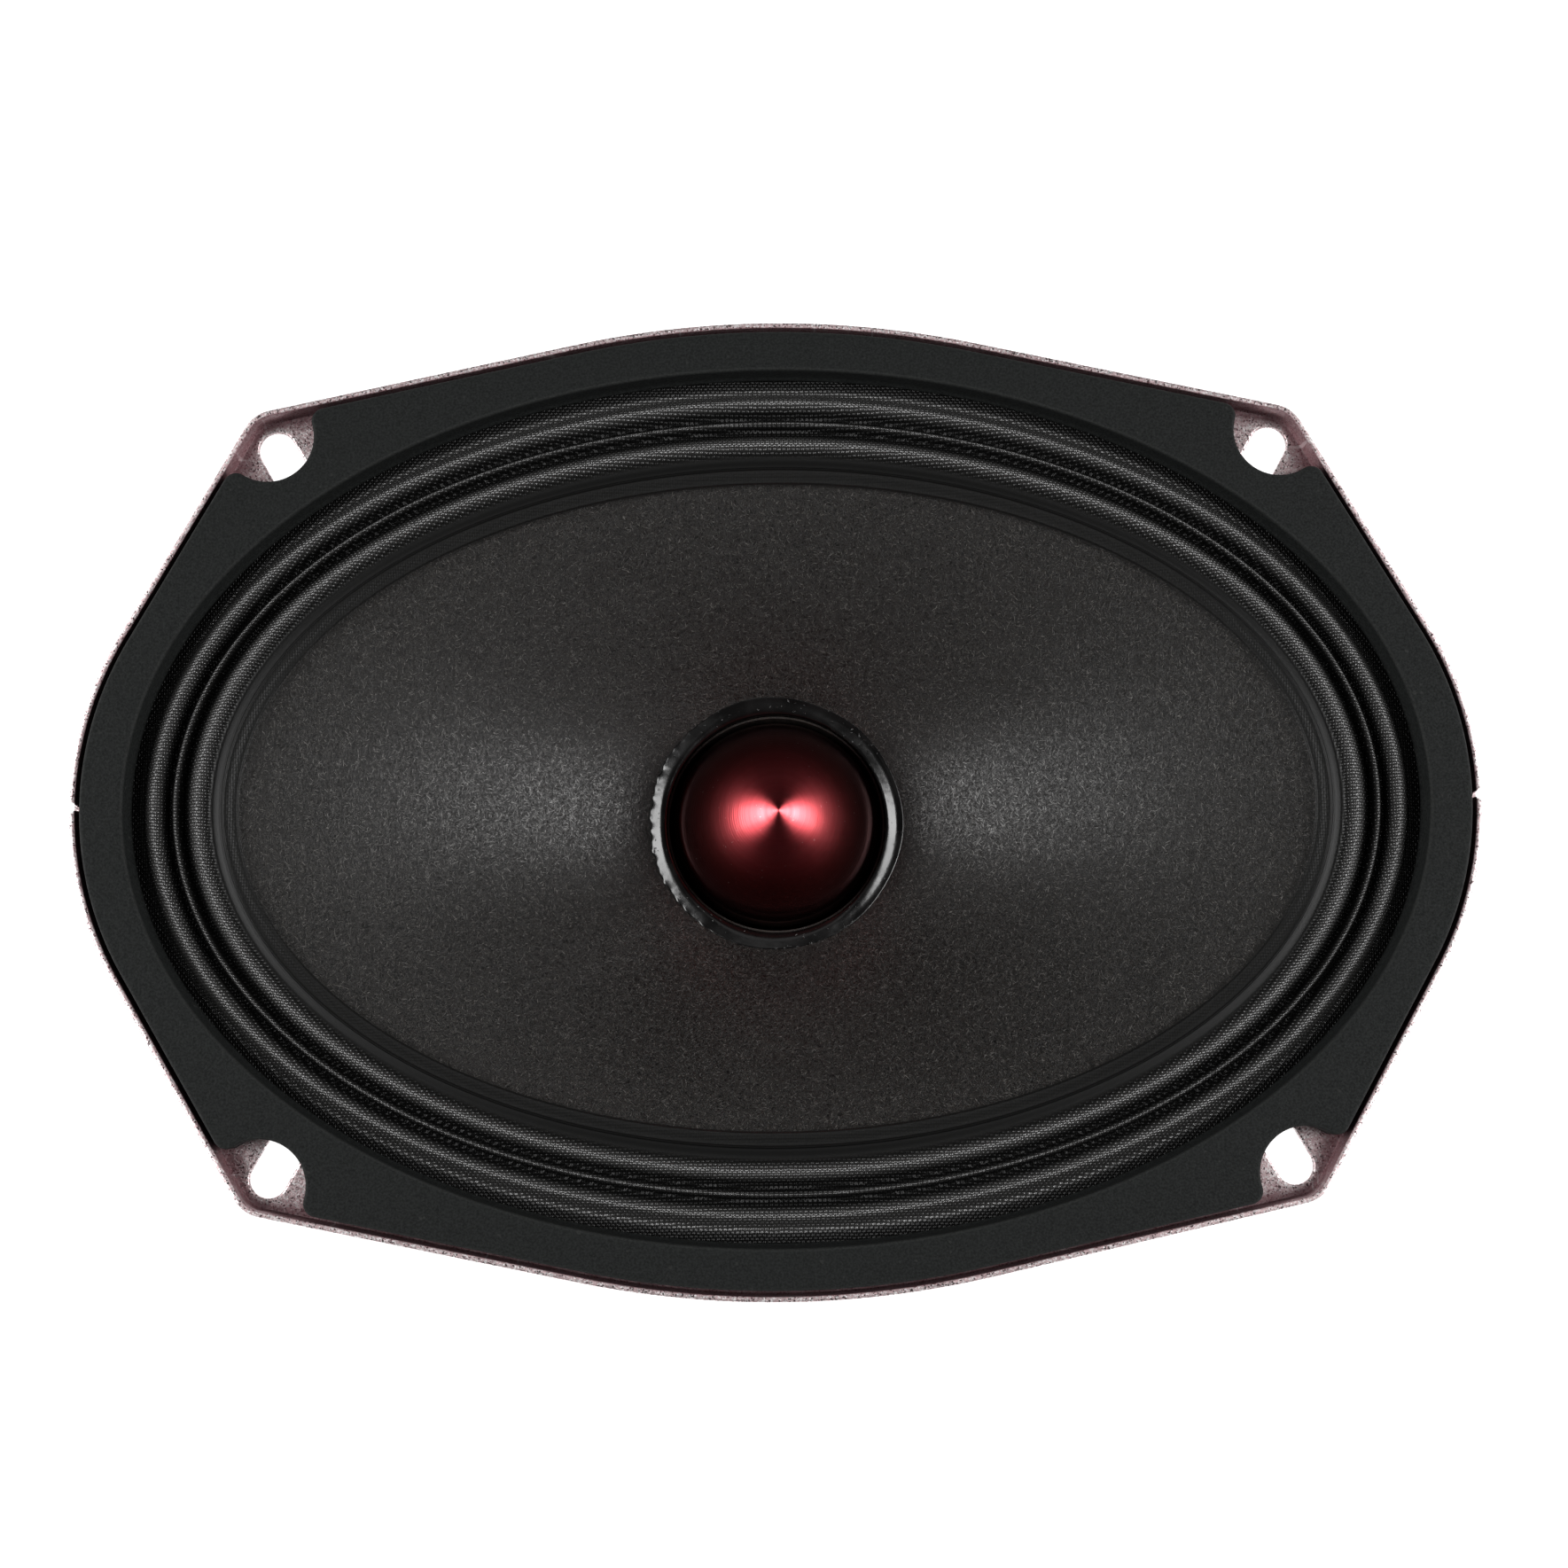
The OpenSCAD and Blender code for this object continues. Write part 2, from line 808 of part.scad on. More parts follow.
module negative_lead() {
  color("orange")
    lead_tube(-button_x, lead_route, lead_r);
}

basket();
gasket();
plate_screws();
top_plate();
magnet();
yoke();
bullet();
bullet_screw();
bullet_washer();
terminal_block();
terminal_cover();
terminal_rivets();
positive_contact();
negative_contact();
positive_spring();
negative_spring();
positive_button();
negative_button();
surround();
cone();
neck_glue();
former();
former_collar();
voice_coil();
coil_leadouts();
solder_joints();
spider();
spider_glue();
positive_lead();
negative_lead();
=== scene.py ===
"""Looks of an oval car loudspeaker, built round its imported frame.

Every length is in metres. A skin is a set of point blocks that numpy works out as whole
arrays, joined by grids of faces into closed shells.
"""

import math

import bmesh
import bpy
import numpy as np
from mathutils import Matrix, Vector
from mathutils.geometry import delaunay_2d_cdt


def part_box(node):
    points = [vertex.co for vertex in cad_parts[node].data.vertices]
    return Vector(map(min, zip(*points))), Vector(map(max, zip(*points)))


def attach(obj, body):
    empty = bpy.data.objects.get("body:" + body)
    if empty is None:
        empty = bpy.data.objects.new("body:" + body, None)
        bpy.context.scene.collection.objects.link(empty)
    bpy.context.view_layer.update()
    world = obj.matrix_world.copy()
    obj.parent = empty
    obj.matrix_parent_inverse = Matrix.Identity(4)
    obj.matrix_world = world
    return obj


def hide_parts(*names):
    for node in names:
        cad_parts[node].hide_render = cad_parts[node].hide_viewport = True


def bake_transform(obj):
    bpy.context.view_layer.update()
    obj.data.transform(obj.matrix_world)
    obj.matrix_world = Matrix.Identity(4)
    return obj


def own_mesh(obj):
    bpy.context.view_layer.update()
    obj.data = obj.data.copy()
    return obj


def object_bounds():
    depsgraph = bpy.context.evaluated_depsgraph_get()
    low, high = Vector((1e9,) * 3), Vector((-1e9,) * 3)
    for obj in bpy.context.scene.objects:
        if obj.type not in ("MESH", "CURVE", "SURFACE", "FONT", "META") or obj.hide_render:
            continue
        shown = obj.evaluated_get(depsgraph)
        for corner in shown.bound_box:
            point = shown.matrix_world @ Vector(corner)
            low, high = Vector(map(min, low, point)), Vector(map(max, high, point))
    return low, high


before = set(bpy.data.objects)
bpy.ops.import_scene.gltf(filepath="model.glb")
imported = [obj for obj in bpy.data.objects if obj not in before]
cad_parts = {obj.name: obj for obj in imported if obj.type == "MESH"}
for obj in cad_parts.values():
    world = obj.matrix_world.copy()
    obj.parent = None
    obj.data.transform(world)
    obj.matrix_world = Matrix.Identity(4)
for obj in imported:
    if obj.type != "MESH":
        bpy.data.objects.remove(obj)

bl_info = {
    "name": "Oval Car Loudspeaker",
    "version": (1, 0, 0),
    "blender": (4, 5, 0),
    "location": "View3D > Sidebar > Speaker",
    "description": "Builds an oval loudspeaker with a paper cone and a turned bullet",
    "category": "Object",
}

# A millimetre, how near two points are one, and the angle in degrees that stays sharp
MM = 0.001
DOUBLES = 1e-6
EDGE_ANGLE = 35
CAD_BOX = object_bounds()


def edges(node):
    """Lowest and highest corner of a node of the frame, as arrays."""
    low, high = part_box(node)
    return np.array(low), np.array(high)


BASKET_LOW, BASKET_HIGH = edges("basket")
GASKET_LOW, GASKET_HIGH = edges("gasket")
BULLET_LOW, BULLET_HIGH = edges("bullet")
FORMER_LOW, FORMER_HIGH = edges("former")
COLLAR_LOW, COLLAR_HIGH = edges("former_collar")
COIL_LOW, COIL_HIGH = edges("voice_coil")
PLATE_LOW, PLATE_HIGH = edges("top_plate")
MAGNET_LOW, MAGNET_HIGH = edges("magnet")
YOKE_LOW = edges("yoke")[0]
BLOCK_HIGH = edges("terminal_block")[1]
LEAD_LOW, LEAD_HIGH = edges("positive_lead")

# Front face of the cone: its neck circle, how far its rim lies inside the opening, the
# height of its rim, and how much it bellies
NECK_R = FORMER_HIGH[0] + 0.1 * MM
NECK_Z = -31 * MM
RIM_INSET = 16.6 * MM
CONE_RIM_Z = 1.4 * MM
CONE_BELLY = 0.35

# Heights inside the basket: the edge of the oval wall and the ledge that holds the spider
WALL_Z = -12 * MM
LEDGE_Z = -38 * MM


# ---------------------------------------------------------------- settings

def length_setting(name, description, millimetres):
    """A length in the panel, stored in metres and given in millimetres."""
    return bpy.props.FloatProperty(
        name=name, description=description, default=millimetres * MM, unit="LENGTH")


def angle_setting(name, description, degrees):
    """An angle in the panel, stored in radians and given in degrees."""
    return bpy.props.FloatProperty(
        name=name, description=description, default=math.radians(degrees), unit="ROTATION")


def colour_setting(name, description, default):
    """A colour in the panel, as red, green and blue shares of light."""
    return bpy.props.FloatVectorProperty(
        name=name, description=description, subtype="COLOR", size=3, min=0, max=1,
        default=default)


class SpeakerSizes(bpy.types.PropertyGroup):
    """Sizes of the speaker that the frame's boxes don't give"""

    end_radius: length_setting("End radius", "Radius of the flange's rounded ends", 57.7)
    end_angle: angle_setting("End angle", "Half angle of each end arc", 29.8)
    side_radius: length_setting("Side radius", "Radius of the flange's long sides", 160)
    side_angle: angle_setting("Side angle", "Half angle of each side arc", 12.2)
    corner_radius: length_setting("Corner radius", "Radius of the flange's four corners", 6)
    sheet: length_setting("Sheet", "Thickness of the pressed steel", 1)
    opening_a: length_setting("Opening half length", "Half length of the oval opening", 107.5)
    opening_b: length_setting("Opening half width", "Half width of the oval opening", 71.8)
    slot_x: length_setting("Slot X", "Centre of a screw slot from the short axis", 83.5)
    slot_y: length_setting("Slot Y", "Centre of a screw slot from the long axis", 59.2)
    slot_angle: angle_setting("Slot angle", "Direction of a screw slot from the long axis", 60.6)
    slot_width: length_setting("Slot width", "Width of a screw slot", 6.2)
    slot_length: length_setting("Slot length", "Length of a screw slot from end to end", 11)
    scallop_radius: length_setting("Scallop radius", "Radius of the gasket's scallops", 7.65)
    thread_x: length_setting("Thread pitch X", "Pitch of the surround's threads along X", 0.40)
    thread_y: length_setting("Thread pitch Y", "Pitch of the surround's threads along Y", 0.52)


class SpeakerColours(bpy.types.PropertyGroup):
    """Base colours of the speaker's finishes"""

    paint: colour_setting("Basket enamel", "Metallic enamel of the basket", (0.66, 0.50, 0.51))
    foam: colour_setting("Gasket foam", "Foam of the gasket", (0.0026, 0.0032, 0.0030))
    cloth: colour_setting("Surround cloth", "Doped cloth of the surround", (0.012, 0.012, 0.0115))
    paper: colour_setting("Cone paper", "Pulp of the cone", (0.0010, 0.0008, 0.0007))
    bullet: colour_setting("Bullet", "Anodised metal of the bullet", (0.95, 0.16, 0.18))
    spider: colour_setting(
        "Spider cloth", "Resin-dipped cotton of the spider", (0.42, 0.27, 0.09))


# ---------------------------------------------------------------- plane curves

def arc(centre, radius, start, stop, count, inward=False):
    """Points of a circular arc and their outward normals: centre plus radius times the
    direction at each angle. With inward, the material lies outside the circle."""
    angle = np.linspace(start, stop, count)
    normal = np.stack([np.cos(angle), np.sin(angle)], 1)
    points = np.asarray(centre) + radius * normal
    return points, -normal if inward else normal


def straight(first, last, normal, count):
    """Evenly spaced points between two ends, leaving both out, with one normal."""
    share = np.linspace(0, 1, count + 2)[1:-1, None]
    points = np.asarray(first) * (1 - share) + np.asarray(last) * share
    return points, np.tile(np.asarray(normal), (count, 1))


def chain(*pieces):
    """Joins pieces of curve, each a pair of points and normals."""
    return np.concatenate([p for p, _ in pieces]), np.concatenate([n for _, n in pieces])


def four_quarters(points, normals):
    """Closed loop from the quarter that runs from the X axis to the Y axis: the quarter
    and its three mirror images, with the points on the axes taken once."""
    def turn(values):
        back = values[:0:-1]
        return np.concatenate([
            values[:-1], back * (-1, 1), -values[:-1], back * (1, -1)])
    return turn(points), turn(normals)


def crossing(n1, d1, n2, d2):
    """Point where the lines n1.p = d1 and n2.p = d2 meet."""
    return np.linalg.solve(np.array([n1, n2]), np.array([d1, d2]))


def flange_arcs(s):
    """Centres, normals and reaches of the flange's outline in its first quarter."""
    end_centre = np.array([BASKET_HIGH[0] - s.end_radius, 0])
    side_centre = np.array([0, BASKET_HIGH[1] - s.side_radius])
    end_normal = np.array([math.cos(s.end_angle), math.sin(s.end_angle)])
    side_normal = np.array([math.sin(s.side_angle), math.cos(s.side_angle)])
    end_reach = end_normal @ end_centre + s.end_radius
    side_reach = side_normal @ side_centre + s.side_radius
    return end_centre, side_centre, end_normal, side_normal, end_reach, side_reach


def flange_outline(s):
    """The flange's outer edge: an end arc, a straight run, a corner arc, a straight run
    and a side arc in each quarter, close-set near the notches at the two ends."""
    end_centre, side_centre, n1, n2, d1, d2 = flange_arcs(s)
    corner = crossing(n1, d1 - s.corner_radius, n2, d2 - s.corner_radius)
    top = math.pi / 2 - s.side_angle
    fine = math.radians(2)
    near = arc(end_centre, s.end_radius, 0, fine, 9)
    end = arc(end_centre, s.end_radius, fine, s.end_angle, 18)
    bend = arc(corner, s.corner_radius, s.end_angle, top, 15)
    side = arc(side_centre, s.side_radius, top, math.pi / 2, 14)
    return four_quarters(*chain(
        near, (end[0][1:], end[1][1:]), straight(end[0][-1], bend[0][0], n1, 14), bend,
        straight(bend[0][-1], side[0][0], n2, 12), side))


def scallop_outline(s, inset):
    """The gasket's outer edge: the flange's outline moved inwards, with a round scallop
    at each corner. Small arcs that touch both the edge and the scallop join them."""
    end_centre, side_centre, n1, n2, d1, d2 = flange_arcs(s)
    scallop, radius = np.array([85.4, 62.3]) * MM, s.scallop_radius
    fillet = 2.2 * MM

    def joint(normal, reach, along):
        """Centre of the small arc that touches the edge and the scallop."""
        foot = normal * (reach - fillet) + along * (along @ scallop)
        gap = np.linalg.norm(foot - scallop)
        return foot + along * math.sqrt((radius + fillet) ** 2 - gap ** 2)

    def heading(vector):
        return math.atan2(vector[1], vector[0])

    first = joint(n1, d1 - inset, np.array([n1[1], -n1[0]]))
    second = joint(n2, d2 - inset, np.array([-n2[1], n2[0]]))
    top = math.pi / 2 - s.side_angle
    end = arc(end_centre, s.end_radius - inset, 0, s.end_angle, 26)
    side = arc(side_centre, s.side_radius - inset, top, math.pi / 2, 14)
    into = arc(first, fillet, s.end_angle, heading(scallop - first), 9)
    bowl = arc(scallop, radius, heading(first - scallop),
               heading(second - scallop) - 2 * math.pi, 30, inward=True)
    out = arc(second, fillet, heading(scallop - second), top, 9)
    return four_quarters(*chain(
        end, straight(end[0][-1], into[0][0], n1, 10), into,
        (bowl[0][1:-1], bowl[1][1:-1]), out,
        straight(out[0][-1], side[0][0], n2, 8), side))


def oval_reach(s, angle):
    """Distance from the centre to the oval in a direction: ab over the root of
    (b cos)^2 + (a sin)^2."""
    a, b = s.opening_a, s.opening_b
    return a * b / np.hypot(b * np.cos(angle), a * np.sin(angle))


def stadium_reach(angle, half_straight, radius):
    """Distance from a slot's centre to its edge, in a direction from its long axis."""
    across, along = np.abs(np.sin(angle)), np.abs(np.cos(angle))
    flat = radius / np.maximum(across, 1e-9)
    round_end = half_straight * along + np.sqrt(
        np.maximum(radius ** 2 - (half_straight * across) ** 2, 0))
    return np.where(flat * along <= half_straight, flat, round_end)


def smooth(share):
    """Smooth step from 0 to 1."""
    share = np.clip(share, 0, 1)
    return share * share * (3 - 2 * share)


def ramp(values, start, width):
    """Smooth step that begins at start and is done after width, both in millimetres."""
    return smooth((values - start * MM) / (width * MM))


def rounded(corners, steps=4):
    """Profile through corners given as (radius from axis, height, fillet): each corner is
    cut back by its fillet and bridged by a quadratic curve whose middle point is the corner."""
    corners = np.array(corners, float)
    result = []
    for k, (x, z, fillet) in enumerate(corners):
        if fillet == 0 or k in (0, len(corners) - 1):
            result.append([(x, z)])
            continue
        here = np.array([x, z])
        before, after = corners[k - 1, :2] - here, corners[k + 1, :2] - here
        start = here + before * min(fillet / np.linalg.norm(before), 0.5)
        stop = here + after * min(fillet / np.linalg.norm(after), 0.5)
        t = np.linspace(0, 1, steps + 1)[:, None]
        result.append(start * (1 - t) ** 2 + here * 2 * t * (1 - t) + stop * t ** 2)
    return np.concatenate([np.atleast_2d(r) for r in result])


# ---------------------------------------------------------------- skins

class Skin:
    """Blocks of points and the faces between them, which become one mesh."""

    def __init__(self):
        self.points, self.shades, self.faces, self.count = [], [], [], 0

    def block(self, points, shade=0.0):
        """Adds an array of points, whose last axis is x, y, z, and returns their numbers.
        shade, one number or one a row, is kept for the material, which paints shade where it is
        set."""
        shape = points.shape[:-1]
        ids = np.arange(self.count, self.count + int(np.prod(shape))).reshape(shape)
        self.points.append(points.reshape(-1, 3))
        rows = np.reshape(shade, (-1,) + (1,) * (len(shape) - 1))
        self.shades.append(np.broadcast_to(rows, shape).ravel())
        self.count += ids.size
        return ids

    def grid(self, ids, wrap_rows=False, wrap_columns=False):
        """Quads between neighbours of a grid of point numbers."""
        if wrap_rows:
            ids = np.concatenate([ids, ids[:1]])
        if wrap_columns:
            ids = np.concatenate([ids, ids[:, :1]], 1)
        quads = np.stack([ids[:-1, :-1], ids[:-1, 1:], ids[1:, 1:], ids[1:, :-1]], -1)
        self.faces.append(quads.reshape(-1, 4))

    def cap(self, loop):
        """Closes a loop with triangles round its middle point."""
        points = np.concatenate(self.points)[loop]
        middle = self.block(points.mean(0)[None])[0]
        following = np.roll(loop, -1)
        self.faces.append(np.stack(
            [loop, following, np.full(len(loop), middle)], 1))

    def pipe(self, rings):
        """Joins rings of points into a pipe that is closed at both ends."""
        ids = self.block(rings)
        self.grid(ids, wrap_columns=True)
        self.cap(ids[0])
        self.cap(ids[-1])
        return self

    def mesh(self, name, sharp=EDGE_ANGLE):
        """Makes the mesh: doubles merged, stray points dropped, normals turned outwards."""
        mesh = bpy.data.meshes.new(name)
        faces = [face for block in self.faces for face in block.tolist()]
        mesh.from_pydata(np.concatenate(self.points).tolist(), [], faces)
        point_value(mesh, "shade", np.concatenate(self.shades))
        return finish_mesh(mesh, sharp)


def shade_smooth(mesh, sharp):
    """Shades a mesh smoothly up to the given angle in degrees."""
    mesh.polygons.foreach_set("use_smooth", np.ones(len(mesh.polygons), bool))
    mesh.set_sharp_from_angle(angle=math.radians(sharp))
    return mesh


def finish_mesh(mesh, sharp):
    """Merges doubles, drops what has no face, turns normals outwards and shades smoothly
    up to the given angle in degrees."""
    bm = bmesh.new()
    bm.from_mesh(mesh)
    bmesh.ops.remove_doubles(bm, verts=bm.verts, dist=DOUBLES)
    stray = [v for v in bm.verts if not v.link_faces]
    bmesh.ops.delete(bm, geom=stray, context="VERTS")
    bmesh.ops.recalc_face_normals(bm, faces=bm.faces)
    bm.to_mesh(mesh)
    bm.free()
    return shade_smooth(mesh, sharp)


def place(name, mesh, material, body, slot, *nodes):
    """Puts a mesh in the scene as a piece that rides on a body and stands for its nodes."""
    piece = bpy.data.objects.new(name, mesh)
    bpy.context.scene.collection.objects.link(piece)
    mesh.materials.clear()
    mesh.materials.append(material)
    if body:
        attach(piece, body)
    if nodes:
        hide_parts(*nodes)
    return piece


def round_rings(profile, count):
    """Rings of a turned shape: each profile point (radius, height) carried round the
    Z axis."""
    angle = np.linspace(0, 2 * np.pi, count, endpoint=False)
    radius, height = profile[:, :1], profile[:, 1:]
    return np.stack([radius * np.cos(angle), radius * np.sin(angle), height + 0 * angle], -1)


def turned(profile, count=128, closed=True):
    """Skin of a turned shape. A closed profile is a ring; an open one ends on the axis."""
    skin = Skin()
    rings = round_rings(profile, count)
    if not closed:
        return skin.pipe(rings)
    skin.grid(skin.block(rings), wrap_rows=True, wrap_columns=True)
    return skin


def tube(path, radius, sides=12):
    """Skin of a round tube along a path: a circle across the path's direction at each
    point, turned so that its sides don't twist about the X axis."""
    path = np.asarray(path, float)
    along = np.gradient(path, axis=0)
    along /= np.linalg.norm(along, axis=1, keepdims=True)
    side = np.cross(along, (1.0, 0.0, 0.0) if abs(along[:, 0]).max() < 0.9 else (0, 0, 1.0))
    side /= np.linalg.norm(side, axis=1, keepdims=True)
    up = np.cross(side, along)
    angle = np.linspace(0, 2 * np.pi, sides, endpoint=False)[None, :, None]
    radius = np.broadcast_to(radius, len(path))[:, None, None]
    around = side[:, None] * np.cos(angle) + up[:, None] * np.sin(angle)
    return Skin().pipe(path[:, None] + radius * around)


def bevelled_node(name, node, width, material, body, slot):
    """Copy of a node with merged points, flat faces joined up and its edges rounded."""
    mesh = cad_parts[node].data.copy()
    bm = bmesh.new()
    bm.from_mesh(mesh)
    bmesh.ops.remove_doubles(bm, verts=bm.verts, dist=DOUBLES)
    bmesh.ops.dissolve_limit(bm, angle_limit=math.radians(1), verts=bm.verts, edges=bm.edges)
    bm.to_mesh(mesh)
    bm.free()
    piece = place(name, shade_smooth(mesh, EDGE_ANGLE), material, body, slot, node)
    bevel = piece.modifiers.new("Edges", "BEVEL")
    bevel.width, bevel.segments, bevel.limit_method = width, 2, "ANGLE"
    bevel.angle_limit = math.radians(EDGE_ANGLE)
    return piece


# ---------------------------------------------------------------- shader parts

class Tree:
    """Short names for adding nodes to a shader tree. Values may be sockets or numbers."""

    def __init__(self, tree):
        self.tree = tree

    def add(self, kind, settings=None, **inputs):
        node = self.tree.nodes.new("ShaderNode" + kind)
        for key, value in (settings or {}).items():
            setattr(node, key, value)
        for key, value in inputs.items():
            self.feed(node.inputs[key.replace("_", " ")], value)
        return node

    def feed(self, socket, value):
        if isinstance(value, bpy.types.NodeSocket):
            self.tree.links.new(value, socket)
        elif value is not None:
            socket.default_value = value

    def math(self, operation, *values):
        node = self.tree.nodes.new("ShaderNodeMath")
        node.operation = operation
        for socket, value in zip(node.inputs, values):
            self.feed(socket, value)
        return node.outputs[0]

    def times(self, first, second):
        return self.math("MULTIPLY", first, second)

    def plus(self, first, second):
        return self.math("ADD", first, second)

    def less(self, first, second):
        return self.math("SUBTRACT", first, second)

    def stored(self, name):
        """A value that the mesh stores at its points."""
        return self.add("Attribute", {"attribute_name": name}).outputs["Fac"]

    def scaled(self, vector, x, y, z, turn=0.0):
        node = self.add("Mapping", Vector=vector)
        node.inputs["Scale"].default_value = (x, y, z)
        node.inputs["Rotation"].default_value = (0, 0, turn)
        return node.outputs[0]

    def noise(self, vector, scale, detail=2.0, roughness=0.5, output="Fac"):
        return self.add("TexNoise", Vector=vector, Scale=scale, Detail=detail,
                        Roughness=roughness).outputs[output]

    def cells(self, vector, scale, output="Distance", feature="F1"):
        return self.add("TexVoronoi", {"feature": feature}, Vector=vector,
                        Scale=scale).outputs[output]

    def remap(self, value, low, high, to_low=0.0, to_high=1.0):
        node = self.add("MapRange", {"interpolation_type": "SMOOTHSTEP"}, Value=value)
        for key, number in (("From Min", low), ("From Max", high),
                            ("To Min", to_low), ("To Max", to_high)):
            self.feed(node.inputs[key], number)
        return node.outputs["Result"]

    def blend(self, share, first, second):
        node = self.tree.nodes.new("ShaderNodeMix")
        node.data_type = "RGBA"
        self.feed(node.inputs["Factor"], share)
        self.feed(node.inputs["A"], rgba(first))
        self.feed(node.inputs["B"], rgba(second))
        return [o for o in node.outputs if o.type == "RGBA"][0]

    def bump(self, height, distance, strength=1.0, normal=None):
        return self.add("Bump", Height=height, Distance=distance, Strength=strength,
                        Normal=normal).outputs[0]

    def lean(self, tilt, amount):
        """The surface normal pushed over by a tilt times an amount."""
        push = self.add("VectorMath", {"operation": "SCALE"}, Scale=amount)
        self.feed(push.inputs[0], tilt)
        total = self.add("VectorMath", {"operation": "ADD"})
        self.feed(total.inputs[0], self.add("NewGeometry").outputs["Normal"])
        self.feed(total.inputs[1], push.outputs[0])
        unit = self.add("VectorMath", {"operation": "NORMALIZE"})
        self.feed(unit.inputs[0], total.outputs[0])
        return unit.outputs[0]


def rgba(colour):
    """A colour with full alpha, or the socket it came as."""
    if isinstance(colour, bpy.types.NodeSocket):
        return colour
    return (*tuple(colour)[:3], 1.0)


def group(name, inputs, outputs, build):
    """A shader node group, made once: build(tree, inputs by name) returns its outputs."""
    made = bpy.data.node_groups.get(name)
    if made:
        return made
    made = bpy.data.node_groups.new(name, "ShaderNodeTree")
    for label, kind, default in inputs:
        socket = made.interface.new_socket(label, in_out="INPUT", socket_type=kind)
        if default is not None:
            socket.default_value = default
    for label, kind in outputs:
        made.interface.new_socket(label, in_out="OUTPUT", socket_type=kind)
    start = made.nodes.new("NodeGroupInput")
    stop = made.nodes.new("NodeGroupOutput")
    tree = Tree(made)
    results = build(tree, {label: start.outputs[label] for label, _, _ in inputs})
    for label, _ in outputs:
        made.links.new(results[label], stop.inputs[label])
    return made


VECTOR, FLOAT = "NodeSocketVector", "NodeSocketFloat"


def weave_group():
    """Plain weave. The plane is cut into cells of one thread by one thread. In every other
    cell the warp lies on top, a half round across X, and in the rest the weft does. Tilt
    is how far the thread's surface leans off the cloth's."""
    def build(t, i):
        parts = t.add("SeparateXYZ", Vector=i["Vector"]).outputs
        wander = t.times(t.less(t.noise(i["Vector"], 900.0, 1.0), 0.5), i["Wander"])
        u = t.plus(t.math("DIVIDE", parts["X"], i["Pitch X"]), wander)
        v = t.plus(t.math("DIVIDE", parts["Y"], i["Pitch Y"]), wander)
        whole = t.plus(t.math("FLOOR", u), t.math("FLOOR", v))
        warp_up = t.math("FLOORED_MODULO", whole, 2.0)
        across_u = t.math("SINE", t.times(t.math("FRACT", u), math.pi))
        across_v = t.math("SINE", t.times(t.math("FRACT", v), math.pi))
        warp = t.times(across_u, t.math("POWER", across_v, 0.4))
        weft = t.times(across_v, t.math("POWER", across_u, 0.4))
        weft_up = t.less(1.0, warp_up)
        low = t.times(weft, weft_up)
        high = t.times(warp, warp_up)
        top = t.plus(low, high)

        def lean(along, own, other):
            slope = t.math("COSINE", t.times(t.math("FRACT", along), math.pi))
            part_up = t.plus(own, t.times(other, 0.45))
            return t.times(t.times(slope, part_up), -1.0)
        tilt = t.add("CombineXYZ", X=lean(u, warp_up, weft_up), Y=lean(v, weft_up, warp_up))
        return {"Height": top, "Warp": warp_up, "Tilt": tilt.outputs[0],
                "Gap": t.remap(top, 0.0, 0.55, 1.0, 0.0)}
    return group(
        "Plain Weave",
        [("Vector", VECTOR, None), ("Pitch X", FLOAT, 0.0005), ("Pitch Y", FLOAT, 0.0005),
         ("Wander", FLOAT, 0.3)],
        [("Height", FLOAT), ("Warp", FLOAT), ("Tilt", VECTOR), ("Gap", FLOAT)], build)


def fibre_group():
    """Fibres lying every way: in each of five directions a noise stretched along it is cut
    to thin streaks, after a slow noise has bent the plane. The brightest streak shows."""
    def build(t, i):
        bend = t.add("TexNoise", Vector=i["Vector"], Scale=260.0, Detail=1.0).outputs["Color"]
        centred = t.add("VectorMath", {"operation": "SUBTRACT"})
        t.feed(centred.inputs[0], bend)
        centred.inputs[1].default_value = (0.5, 0.5, 0.5)
        pushed = t.add("VectorMath", {"operation": "SCALE"}, Scale=0.0005)
        t.feed(pushed.inputs[0], centred.outputs[0])
        moved = t.add("VectorMath", {"operation": "ADD"})
        t.feed(moved.inputs[0], i["Vector"])
        t.feed(moved.inputs[1], pushed.outputs[0])
        streaks, sparse = None, None
        for k in range(5):
            turned_plane = t.scaled(moved.outputs[0], 1.0, 1.0, 1.0, k * math.pi / 5 + 0.2)
            long_plane = t.scaled(turned_plane, 1.0, 9.0, 1.0)
            value = t.noise(long_plane, i["Scale"], 1.0, 0.5)
            streak = t.remap(value, 0.54, 0.66)
            rare = t.remap(value, 0.70, 0.76)
            streaks = streak if streaks is None else t.math("MAXIMUM", streaks, streak)
            sparse = rare if sparse is None else t.math("MAXIMUM", sparse, rare)
        return {"Fibre": streaks, "Pale": sparse,
                "Cloud": t.noise(i["Vector"], 60.0, 4.0, 0.6)}
    return group(
        "Paper Fibres", [("Vector", VECTOR, None), ("Scale", FLOAT, 260.0)],
        [("Fibre", FLOAT), ("Pale", FLOAT), ("Cloud", FLOAT)], build)


def grain_group():
    """Leathery grain: the edges of soft cells over fine noise, and a slow cloud."""
    def build(t, i):
        crack = t.cells(i["Vector"], i["Scale"], feature="F2")
        fine = t.noise(i["Vector"], t.times(i["Scale"], 2.6), 3.0, 0.6)
        height = t.plus(t.times(crack, 0.6), t.times(fine, 0.7))
        return {"Height": height, "Tone": fine,
                "Cloud": t.noise(i["Vector"], t.times(i["Scale"], 0.03), 3.0)}
    return group(
        "Soft Grain", [("Vector", VECTOR, None), ("Scale", FLOAT, 1500.0)],
        [("Height", FLOAT), ("Tone", FLOAT), ("Cloud", FLOAT)], build)


